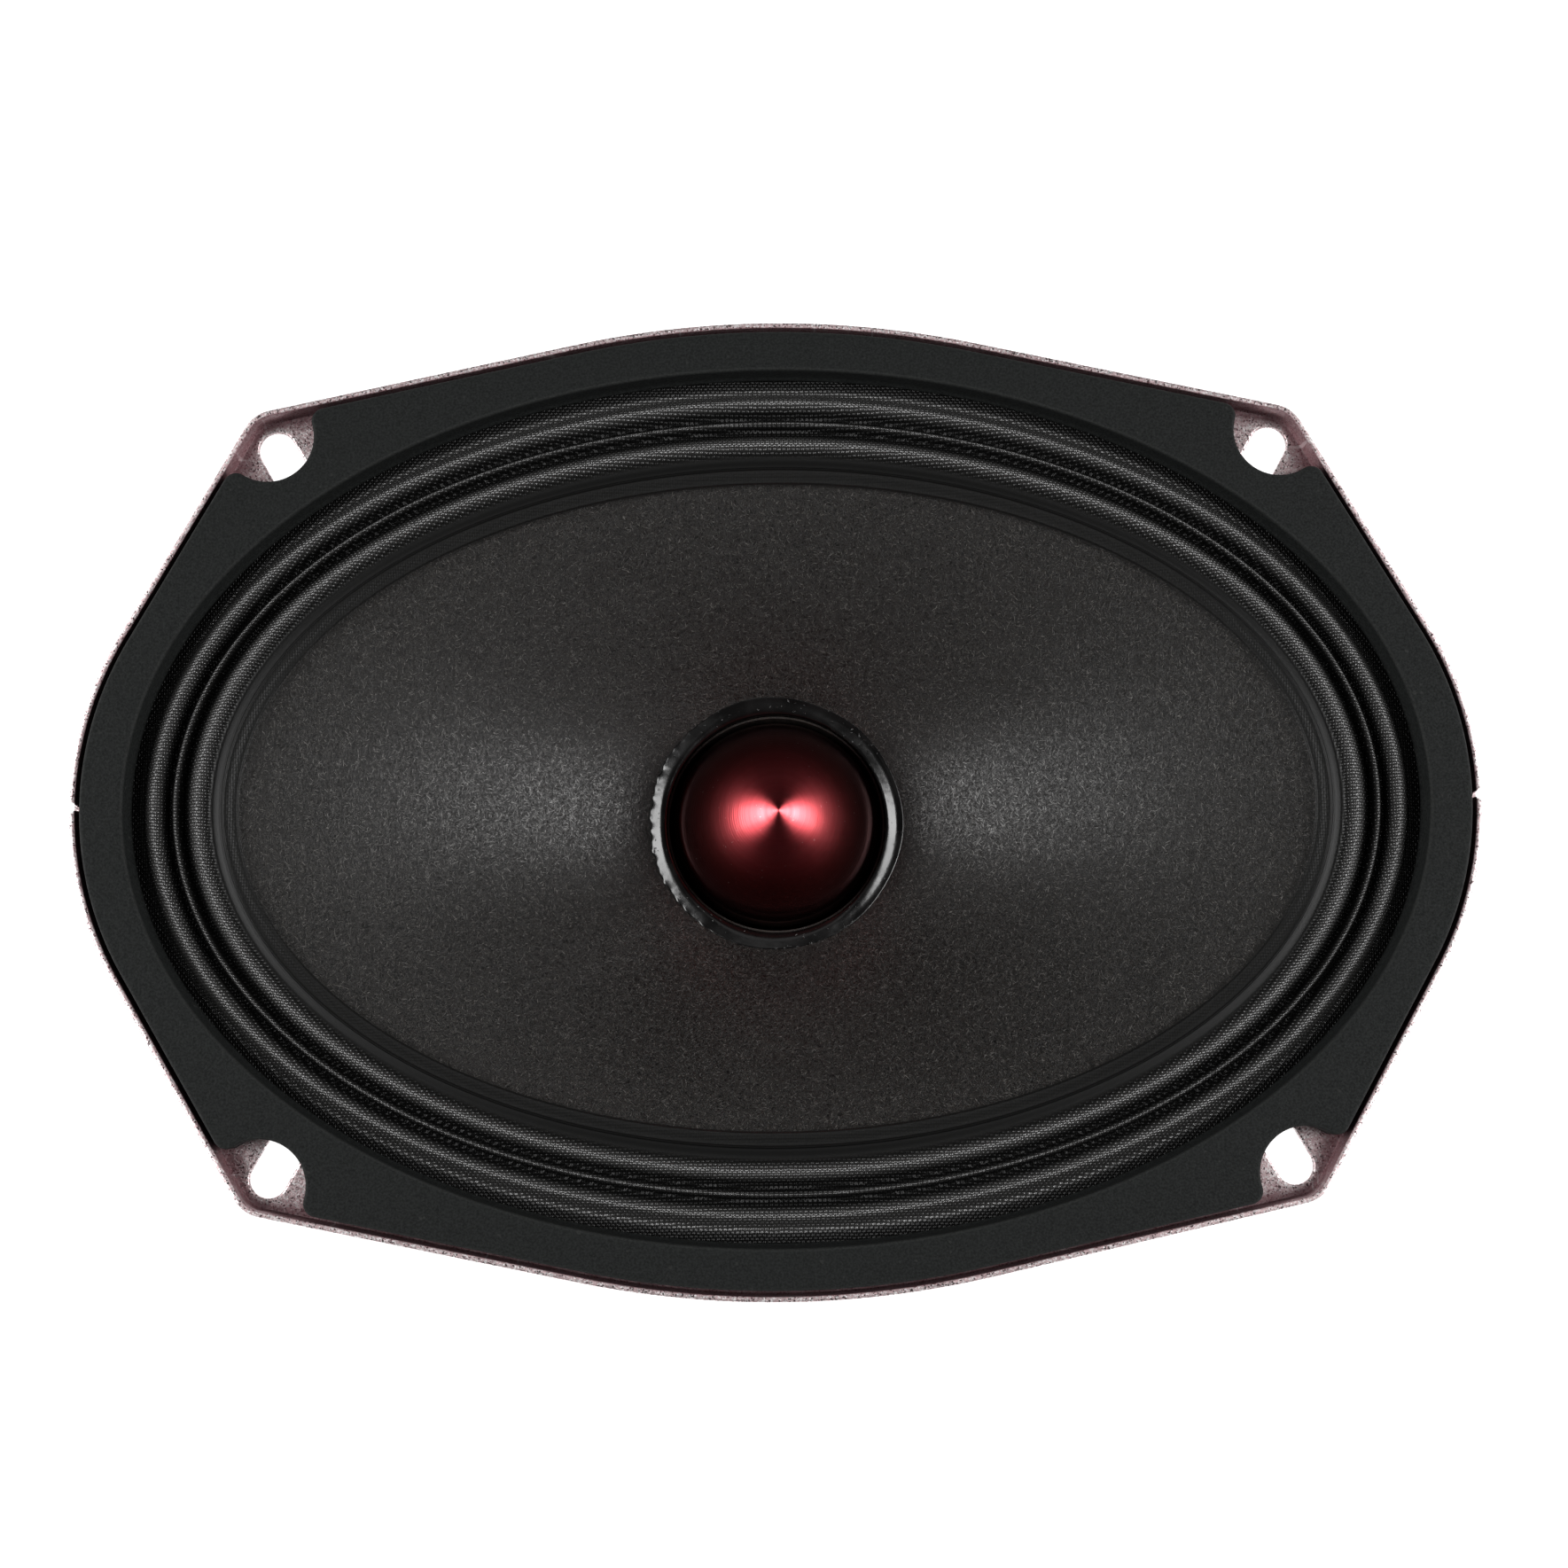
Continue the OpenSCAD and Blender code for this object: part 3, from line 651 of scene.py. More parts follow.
def wear_group():
    """Scuffs, dust and grime: fine scratches from stretched noise, and patches and specks from
    clouds of noise."""
    def build(t, i):
        one = t.remap(t.noise(t.scaled(i["Vector"], 1, 14, 1, 0.6), i["Scale"], 3.0), 0.66, 0.74)
        two = t.remap(t.noise(t.scaled(i["Vector"], 15, 1, 1, -0.3), i["Scale"], 3.0), 0.67, 0.75)
        patch = t.remap(t.noise(i["Vector"], t.times(i["Scale"], 0.25), 5.0, 0.65),
                        0.42, 0.68)
        specks = t.remap(t.noise(i["Vector"], t.times(i["Scale"], 12.0), 1.0), 0.74, 0.79)
        return {"Scratches": t.math("MAXIMUM", one, two), "Patches": patch, "Specks": specks}
    return group(
        "Wear", [("Vector", VECTOR, None), ("Scale", FLOAT, 120.0)],
        [("Scratches", FLOAT), ("Patches", FLOAT), ("Specks", FLOAT)], build)


def rings_group():
    """Turning marks: waves of the distance from the Z axis, with a second noise of the same
    distance so that no two grooves are alike."""
    def build(t, i):
        parts = t.add("SeparateXYZ", Vector=i["Vector"]).outputs
        radius = t.math("SQRT", t.plus(
            t.times(parts["X"], parts["X"]), t.times(parts["Y"], parts["Y"])))
        wave = t.math("SINE", t.math("DIVIDE", radius, i["Pitch"]))
        line = t.add("CombineXYZ", X=radius, Y=0.0, Z=t.times(parts["Z"], 0.5)).outputs[0]
        uneven = t.noise(line, t.math("DIVIDE", 0.35, i["Pitch"]), 2.0, 0.6)
        return {"Height": t.plus(t.times(wave, 0.25), uneven),
                "Tone": t.noise(line, t.math("DIVIDE", 0.05, i["Pitch"]), 3.0), "Radius": radius}
    return group(
        "Turning Marks", [("Vector", VECTOR, None), ("Pitch", FLOAT, 0.0001)],
        [("Height", FLOAT), ("Tone", FLOAT), ("Radius", FLOAT)], build)


def flake_group():
    """Metal flakes in lacquer: tiny cells, each with its own random tone and tilt."""
    def build(t, i):
        near = t.cells(i["Vector"], i["Scale"], "Color")
        tone = t.add("SeparateColor", Color=near).outputs
        bright = t.remap(tone["Red"], 0.35, 0.95)
        dark = t.remap(tone["Green"], 0.82, 0.90)
        return {"Bright": bright, "Dark": dark, "Height": tone["Blue"]}
    return group(
        "Metal Flake", [("Vector", VECTOR, None), ("Scale", FLOAT, 3200.0)],
        [("Bright", FLOAT), ("Dark", FLOAT), ("Height", FLOAT)], build)


def finish(name, build, **constants):
    """A material, made once: build(tree, object coordinates) returns what feeds the
    Principled shader, and constants are set on its own sockets."""
    made = bpy.data.materials.get(name)
    if made:
        return made
    made = bpy.data.materials.new(name)
    made.use_nodes = True
    tree = Tree(made.node_tree)
    shader = made.node_tree.nodes["Principled BSDF"]
    for key, value in constants.items():
        shader.inputs[key.replace("_", " ")].default_value = value
    where = tree.add("TexCoord").outputs["Object"]
    for key, value in build(tree, where).items():
        if key in ("Base Color", "Emission Color"):
            value = rgba(value)
        tree.feed(shader.inputs[key], value)
    return made


def part(tree, made, **inputs):
    """Places a node group in a tree and returns its outputs."""
    node = tree.tree.nodes.new("ShaderNodeGroup")
    node.node_tree = made
    for key, value in inputs.items():
        tree.feed(node.inputs[key.replace("_", " ")], value)
    return node.outputs


# ---------------------------------------------------------------- finishes

def basket_enamel(colours):
    """Metallic enamel: flakes of silver, pink and near-black under a clear coat, with painted
    shade on the lip's inner wall and the floor of the gap beside the gasket.
    """
    def build(t, where):
        flake = part(t, flake_group(), Vector=where, Scale=4200.0)
        wear = part(t, wear_group(), Vector=where, Scale=70.0)
        pale = t.blend(flake["Bright"], colours.paint, (0.95, 0.91, 0.91))
        dark = t.blend(t.times(flake["Dark"], 0.9), pale, (0.03, 0.012, 0.014))
        # painted shade: on the lip's inner wall and the gap floor the colour goes towards dark
        # red-brown
        inside = t.stored("shade")
        shaded = t.blend(t.times(inside, 0.8), dark, (0.22, 0.10, 0.115))
        worn = t.blend(t.times(wear["Scratches"], 0.4), shaded, (0.8, 0.75, 0.75))
        rough = t.remap(flake["Height"], 0.0, 1.0, 0.36, 0.60)
        return {
            "Base Color": worn,
            "Roughness": t.plus(rough, t.times(wear["Patches"], 0.08)),
            "Normal": t.bump(flake["Height"], 0.000022),
        }
    return finish("Basket Enamel", build, Metallic=0.92, Coat_Weight=0.35, Coat_Roughness=0.12)


def gasket_foam(colours):
    """Matt foam sheet with a fine leathery skin and a faint painted highlight along its rounded top
    edges.
    """
    def build(t, where):
        grain = part(t, grain_group(), Vector=where, Scale=1000.0)
        wear = part(t, wear_group(), Vector=where, Scale=60.0)
        # painted highlight: the rounded top edges are marked to be lightened as if they caught the
        # light
        cut = t.stored("edge_highlight")
        mottle = t.remap(grain["Tone"], 0.36, 0.66)
        tone = t.blend(mottle, colours.foam, (0.0105, 0.0120, 0.0115))
        cloudy = t.blend(t.times(grain["Cloud"], 0.35), tone, (0.003, 0.0038, 0.0036))
        dusty = t.blend(t.times(wear["Specks"], 0.12), cloudy, (0.08, 0.08, 0.075))
        # painted highlight along the rounded top edges
        edge = t.blend(t.times(cut, 0.05), dusty, (0.13, 0.13, 0.125))
        return {
            "Base Color": edge,
            "Roughness": t.remap(grain["Height"], 0.2, 1.0, 0.90, 0.70),
            "Normal": t.bump(grain["Height"], 0.00012),
        }
    return finish("Gasket Foam", build, Specular_IOR_Level=0.22)


def surround_cloth(colours, sizes):
    """Doped plain weave: glossy thread tops, dull black gaps, a little lint and painted shade in
    the valleys between the rolls.
    """
    def build(t, where):
        weave = part(t, weave_group(), Vector=where, Pitch_X=sizes.thread_x,
                     Pitch_Y=sizes.thread_y, Wander=0.5)
        fine = part(t, grain_group(), Vector=where, Scale=2500.0)
        cloud = t.noise(where, 220.0, 4.0, 0.6)
        doped = t.stored("doped")
        bare = t.less(1.0, doped)
        crest = t.stored("crest")
        # painted shade: bare cloth outside the crests is darkened, and its gloss lowered
        valley_shade = t.times(t.less(1.0, crest), bare)
        body = t.blend(weave["Gap"], (0.034, 0.033, 0.032), (0.0003, 0.0003, 0.0003))
        tone = t.blend(t.times(weave["Warp"], 0.4), body, colours.cloth)
        lint = t.blend(t.remap(fine["Tone"], 0.70, 0.76), tone, (0.12, 0.12, 0.12))
        # painted shade in the valleys between the rolls
        shaded = t.blend(t.times(valley_shade, 0.9), lint, (0.0008, 0.0008, 0.0008))
        sealed = t.blend(doped, shaded, (0.0034, 0.0034, 0.0032))
        gloss = t.less(1.0, t.times(doped, 0.72))
        threads = t.lean(weave["Tilt"], t.times(bare, 0.8))
        thread = t.plus(t.remap(cloud, 0.35, 0.65, 0.15, 0.25), t.times(weave["Gap"], 0.45))
        rough = t.plus(t.times(thread, bare), t.times(doped, 0.44))
        return {
            "Base Color": sealed,
            "Roughness": rough,
            "Specular IOR Level": t.less(gloss, t.times(valley_shade, 0.85)),
            "Normal": t.bump(fine["Tone"], 0.00003, normal=threads),
        }
    return finish("Surround Cloth", build, Specular_IOR_Level=0.4)


def cone_paper(colours):
    """Pressed pulp: dark fibres lying every way, a few of them pale, under a thin coating."""
    def build(t, where):
        fibre = part(t, fibre_group(), Vector=where, Scale=950.0)
        grain = part(t, grain_group(), Vector=where, Scale=1500.0)
        tone = t.blend(fibre["Fibre"], colours.paper, (0.0200, 0.0178, 0.0158))
        cloudy = t.blend(t.times(fibre["Cloud"], 0.4), tone, (0.0010, 0.0007, 0.0006))
        flecked = t.blend(t.times(fibre["Pale"], 0.9), cloudy, (0.13, 0.124, 0.118))
        height = t.plus(fibre["Fibre"], t.times(grain["Height"], 0.7))
        return {
            "Base Color": flecked,
            "Roughness": t.less(t.remap(grain["Tone"], 0.3, 0.7, 0.37, 0.50),
                                t.times(fibre["Fibre"], 0.12)),
            "Normal": t.bump(height, 0.00005),
        }
    return finish("Cone Paper", build, Specular_IOR_Level=0.42)


def black_glue():
    """Dried rubber cement: smooth, glossy and slightly wavy."""
    def build(t, where):
        wave = t.noise(where, 190.0, 3.0, 0.5)
        pits = t.remap(t.noise(where, 1400.0, 1.0), 0.70, 0.76)
        return {
            "Base Color": t.blend(wave, (0.0015, 0.0015, 0.0015), (0.004, 0.0035, 0.0035)),
            "Roughness": t.remap(wave, 0.3, 0.7, 0.20, 0.30),
            "Normal": t.bump(t.less(wave, t.times(pits, 0.3)), 0.0002),
        }
    return finish("Black Glue", build, Specular_IOR_Level=0.7,
                  Coat_Weight=0.12, Coat_Roughness=0.22)


def bullet_metal(colours):
    """Turned and anodised metal: its fine grooves run round the axis, so a light is drawn
    out across them into a fan. Painted shade darkens the colour away from the axis."""
    def build(t, where):
        rings = part(t, rings_group(), Vector=where, Pitch=0.00006)
        wear = part(t, wear_group(), Vector=where, Scale=150.0)
        bright = t.blend(rings["Tone"], colours.bullet, (0.62, 0.055, 0.070))
        # painted shade: the colour darkens away from the axis, over the lower flanks
        tone = t.blend(t.remap(rings["Radius"], 0.003, 0.014), bright, (0.16, 0.014, 0.014))
        dusty = t.blend(t.times(wear["Specks"], 0.25), tone, (0.8, 0.5, 0.5))
        rough = t.remap(rings["Tone"], 0.3, 0.7, 0.28, 0.34)
        return {
            "Base Color": dusty,
            "Roughness": t.plus(rough, t.times(wear["Patches"], 0.04)),
            "Normal": t.bump(rings["Height"], 0.000014),
            "Tangent": t.add("Tangent", {"direction_type": "RADIAL", "axis": "Z"}).outputs[0],
        }
    return finish("Bullet Metal", build, Metallic=1.0, Anisotropic=0.95,
                  Coat_Weight=0.2, Coat_Roughness=0.15)


def plain_metal(name, colour, dark, rough, mark_scale=90.0, rings=False):
    """Metal with scratches, stains and grime; turned pieces have rings too."""
    def build(t, where):
        wear = part(t, wear_group(), Vector=where, Scale=mark_scale)
        fine = part(t, grain_group(), Vector=where, Scale=1600.0)
        stained = t.blend(t.times(wear["Patches"], 0.45), colour, dark)
        bright = t.blend(t.times(wear["Scratches"], 0.35), stained, (0.8, 0.8, 0.8))
        height = t.times(fine["Height"], 0.5)
        if rings:
            marks = part(t, rings_group(), Vector=where, Pitch=0.00009)
            height = t.plus(height, marks["Height"])
        return {
            "Base Color": bright,
            "Roughness": t.plus(t.remap(fine["Tone"], 0.3, 0.7, rough, rough + 0.14),
                                t.times(wear["Patches"], 0.12)),
            "Normal": t.bump(height, 0.00002),
        }
    return finish(name, build, Metallic=1.0)


def zinc_plate():
    """Yellow zinc plate of the rivets and the bullet's screw."""
    return plain_metal("Zinc Screw", (0.62, 0.60, 0.52), (0.28, 0.25, 0.18), 0.24)


def magnet_ferrite():
    """Sintered ferrite: dull charcoal with a metallic glint, pits and chalky dust."""
    def build(t, where):
        wear = part(t, wear_group(), Vector=where, Scale=55.0)
        grain = part(t, grain_group(), Vector=where, Scale=1300.0)
        tone = t.blend(grain["Tone"], (0.030, 0.030, 0.033), (0.075, 0.075, 0.08))
        dusty = t.blend(t.times(wear["Patches"], 0.3), tone, (0.11, 0.10, 0.095))
        return {
            "Base Color": t.blend(t.times(wear["Scratches"], 0.4), dusty, (0.2, 0.2, 0.2)),
            "Roughness": t.remap(grain["Height"], 0.2, 1.0, 0.62, 0.42),
            "Metallic": t.times(grain["Tone"], 0.5),
            "Normal": t.bump(grain["Height"], 0.00006),
        }
    return finish("Magnet Ferrite", build)


def moulded_plastic(name, colour, pale, rough=0.38):
    """Moulded plastic with a fine spark-eroded texture, scuffs and dust."""
    def build(t, where):
        wear = part(t, wear_group(), Vector=where, Scale=130.0)
        grain = part(t, grain_group(), Vector=where, Scale=2600.0)
        tone = t.blend(t.times(grain["Cloud"], 0.4), colour, pale)
        return {
            "Base Color": t.blend(t.times(wear["Scratches"], 0.3), tone, pale),
            "Roughness": t.remap(grain["Tone"], 0.3, 0.7, rough, rough + 0.16),
            "Normal": t.bump(grain["Height"], 0.000035),
        }
    return finish(name, build)


def spider_cotton(colours):
    """Open plain weave of amber cotton, stiffened with resin."""
    def build(t, where):
        weave = part(t, weave_group(), Vector=where, Pitch_X=0.00065, Pitch_Y=0.00065, Wander=0.4)
        cloud = t.noise(where, 70.0, 4.0, 0.6)
        tone = t.blend(cloud, colours.spider, (0.58, 0.42, 0.17))
        return {
            "Base Color": t.blend(weave["Gap"], tone, (0.13, 0.065, 0.018)),
            "Roughness": t.remap(cloud, 0.3, 0.7, 0.50, 0.72),
            "Normal": t.bump(weave["Height"], 0.00014),
        }
    return finish("Spider Cotton", build)


def coil_enamel():
    """Enamelled copper wire in clouds of dark and pale amber."""
    def build(t, where):
        cloud = t.noise(where, 160.0, 3.0, 0.6)
        return {
            "Base Color": t.blend(cloud, (0.55, 0.17, 0.055), (0.72, 0.30, 0.10)),
            "Roughness": t.remap(cloud, 0.3, 0.7, 0.18, 0.34),
            "Normal": t.bump(t.noise(where, 2600.0, 2.0), 0.00002),
        }
    return finish("Coil Enamel", build, Metallic=0.85, Coat_Weight=0.6)


def paper_collar(name, colour, pale):
    """Wrapped paper or film with fine fibres."""
    def build(t, where):
        fibre = part(t, fibre_group(), Vector=where, Scale=420.0)
        return {
            "Base Color": t.blend(fibre["Fibre"], colour, pale),
            "Roughness": t.remap(fibre["Cloud"], 0.3, 0.7, 0.45, 0.65),
            "Normal": t.bump(fibre["Fibre"], 0.00003),
        }
    return finish(name, build)


def tinsel_braid():
    """Braided copper tinsel: strands crossing both ways along the lead."""
    def build(t, where):
        fine = t.noise(where, 1900.0, 3.0, 0.6)
        cloud = t.noise(where, 150.0, 2.0)
        return {
            "Base Color": t.blend(fine, (0.34, 0.13, 0.045), (0.86, 0.48, 0.24)),
            "Roughness": t.remap(cloud, 0.3, 0.7, 0.28, 0.42),
            "Normal": t.bump(fine, 0.00006),
        }
    return finish("Tinsel Braid", build, Metallic=0.95)


def floor_card():
    """Pale matt backdrop with a barely visible tooth."""
    def build(t, where):
        tooth = t.noise(where, 900.0, 3.0)
        return {
            "Base Color": t.blend(tooth, (0.90, 0.90, 0.90), (0.94, 0.94, 0.94)),
            "Roughness": t.remap(tooth, 0.3, 0.7, 0.75, 0.9),
        }
    return finish("Backdrop Card", build, Emission_Color=(1, 1, 1, 1), Emission_Strength=0.3)


# ---------------------------------------------------------------- basket

SECTORS = 8
SECTOR_STEPS = 24
ARM_STEPS = 13
PAD_SECTOR = 6
ARM_HALF = 7 * MM
WINDOW_START, WINDOW_RUN = 0.09, 0.80
WINDOW_SQUARENESS = 7.0
CUP_BORE, LEDGE_BORE = 24 * MM, 46 * MM


def sector_turns(half_top, half_bottom):
    """Angles of a sector's columns from its middle, at its top and bottom ring. Plain
    sectors have even steps. In the sector of the terminal pad, whose corners stand at
    half_top and half_bottom from the middle, the steps crowd round those corners."""
    half = np.pi / SECTORS
    if half_top is None:
        even = np.linspace(-half, half, SECTOR_STEPS + 1)
        return even, even

    def crowded(corner):
        inner = np.array([0, 0.17, 0.34, 0.51, 0.68, 0.84, 0.955]) * corner
        outer = corner + (half - corner) * np.array([0, 0.08, 0.22, 0.5, 0.75, 1])
        right = np.concatenate([inner, outer])
        return np.concatenate([-right[:0:-1], right])
    return crowded(half_top), crowded(half_bottom)


class BasketShape:
    """Places of the basket's main edges, from the frame's boxes and the sizes."""

    def __init__(self, s):
        self.s = s
        self.sheet = s.sheet
        self.lip_top = BASKET_HIGH[2]
        self.cup_r = PLATE_HIGH[0] + 0.5 * MM
        self.floor_z = BASKET_LOW[2]
        self.pad_half = 18 * MM
        self.pad_y = BLOCK_HIGH[1]
        self.middles = [np.pi / 4 * k for k in range(SECTORS)]

    def columns(self):
        """Angles of all columns round the axis, at the top ring and at the bottom ring."""
        tops, bottoms = [], []
        for k, middle in enumerate(self.middles):
            corners = (None, None)
            if k == PAD_SECTOR:
                corners = (math.asin(self.pad_half / (self.s.opening_b + self.sheet)),
                           math.asin(self.pad_half / self.cup_r))
            top, bottom = sector_turns(*corners)
            tops.append(middle + top[:-1])
            bottoms.append(middle + bottom[:-1])
        return tops, bottoms


def bend_rows(corners, fillets, steps=5):
    """Rows of a profile whose corners are arrays of distance and height, one per column:
    each corner is cut back by its fillet along both sides and bridged by a quadratic
    curve whose middle point is the corner."""
    rows = []
    last = len(corners) - 1
    for k, here in enumerate(corners):
        fillet = fillets[k]
        if fillet == 0 or k in (0, last):
            rows.append(here[None])
            continue
        before, after = corners[k - 1] - here, corners[k + 1] - here
        near = np.minimum(fillet / np.linalg.norm(before, axis=-1, keepdims=True), 0.48)
        far = np.minimum(fillet / np.linalg.norm(after, axis=-1, keepdims=True), 0.48)
        start, stop = here + before * near, here + after * far
        t = np.linspace(0, 1, steps + 1)[:, None, None]
        rows.append(start * (1 - t) ** 2 + here * 2 * t * (1 - t) + stop * t ** 2)
    return np.concatenate(rows)


def flat_sheet(skin, loops):
    """Flat face inside the first closed loop of points and outside the rest. The points
    are joined by triangles that keep every loop's edges. Going in from the rim, a
    triangle is inside or outside like its neighbour, unless a loop runs between them."""
    points = np.concatenate([p for p, _ in loops])
    ids = np.concatenate([i for _, i in loops])
    edges_list, start = [], 0
    for loop, _ in loops:
        number = np.arange(start, start + len(loop))
        edges_list += np.stack([number, np.roll(number, -1)], 1).tolist()
        start += len(loop)
    whole = 0
    made = delaunay_2d_cdt([Vector(p) for p in points.tolist()], edges_list, [], whole, 1e-7)
    walls = {frozenset(edge) for edge, source in zip(made[1], made[4]) if source}
    sides, inside = {}, {}
    for number, (a, b, c) in enumerate(made[2]):
        for edge in ((a, b), (b, c), (c, a)):
            sides.setdefault(frozenset(edge), []).append(number)
    around = {number: [] for number in range(len(made[2]))}
    waiting = []
    for edge, users in sides.items():
        for number in users:
            around[number].append((edge in walls, users))
        if len(users) == 1:
            waiting.append((users[0], edge in walls))
    while waiting:
        number, state = waiting.pop()
        if number not in inside:
            inside[number] = state
            waiting += [(other, state != wall) for wall, users in around[number] for other in users]
    origin = np.array([o[0] if o else -1 for o in made[3]])
    kept = [face for number, face in enumerate(made[2]) if inside[number]]
    skin.faces.append(ids[origin[np.array(kept)]])


def offset_rings(outline, rows):
    """Rings that follow a closed outline: each row is (distance inwards, height)."""
    points, normals = outline
    rows = np.array(rows)
    flat = points[None] - normals[None] * rows[:, None, :1]
    return np.concatenate([flat, np.broadcast_to(rows[:, None, 1:], (*flat.shape[:2], 1))], -1)


def slot_outline(s, quadrant, count=40):
    """Outline of a screw slot in one quadrant: its reach in each direction from its
    centre, with normals that point into the steel reversed, so that inwards is steel."""
    sign = np.array(quadrant)
    angle = np.linspace(0, 2 * np.pi, count, endpoint=False)
    reach = stadium_reach(angle, (s.slot_length - s.slot_width) / 2, s.slot_width / 2)
    turn = angle + s.slot_angle
    ray = np.stack([np.cos(turn), np.sin(turn)], 1)
    points = (np.array([s.slot_x, s.slot_y]) + ray * reach[:, None]) * sign
    ahead = np.roll(points, -1, 0) - np.roll(points, 1, 0)
    side = np.stack([ahead[:, 1], -ahead[:, 0]], 1) * sign.prod()
    side /= np.linalg.norm(side, axis=1, keepdims=True)
    return points, -side


def polar_rows(rows, turns):
    """Points from rows of distance and height, with the angle of each column."""
    return np.stack([
        rows[..., 0] * np.cos(turns), rows[..., 0] * np.sin(turns), rows[..., 1]], -1)


def window_patch(skin, front, back, columns, rows):
    """Both skins of a sector's sloped part, with a window in it, and the window's rim.
    front and back give the surface at a pair of shares (across, down). The sector's edge
    is a square of shares. The window's edge lies in the same direction from the middle,
    on a rounded square that keeps the arms at one width. Rings blend one to the other,
    and the steel curls inwards as it nears the window."""
    across, down = np.linspace(-1, 1, columns + 1), np.linspace(-1, 1, rows + 1)
    square = np.concatenate([
        np.stack([across[:-1], np.full(columns, -1.0)], 1),
        np.stack([np.ones(rows), down[:-1]], 1),
        np.stack([across[:0:-1], np.ones(columns)], 1),
        np.stack([-np.ones(rows), down[:0:-1]], 1)])
    shrink = (np.abs(square) ** WINDOW_SQUARENESS).sum(1) ** (-1 / WINDOW_SQUARENESS)
    hole = square * shrink[:, None]
    shares = np.array([0, 0.3, 0.6, 0.8, 0.91, 0.97, 1.0])
    curls = np.array([0, 0, 0.05, 0.3, 0.75, 1.35, 1.8]) * MM
    outer = np.stack([front(square, hole, share, curl) for share, curl in zip(shares, curls)])
    inner = np.stack([back(square, hole, share, curl) for share, curl in zip(shares, curls)])
    front_ids, back_ids = skin.block(outer), skin.block(inner)
    skin.grid(front_ids, wrap_columns=True)
    skin.grid(back_ids, wrap_columns=True)
    skin.grid(np.stack([front_ids[-1], back_ids[-1]]), wrap_columns=True)


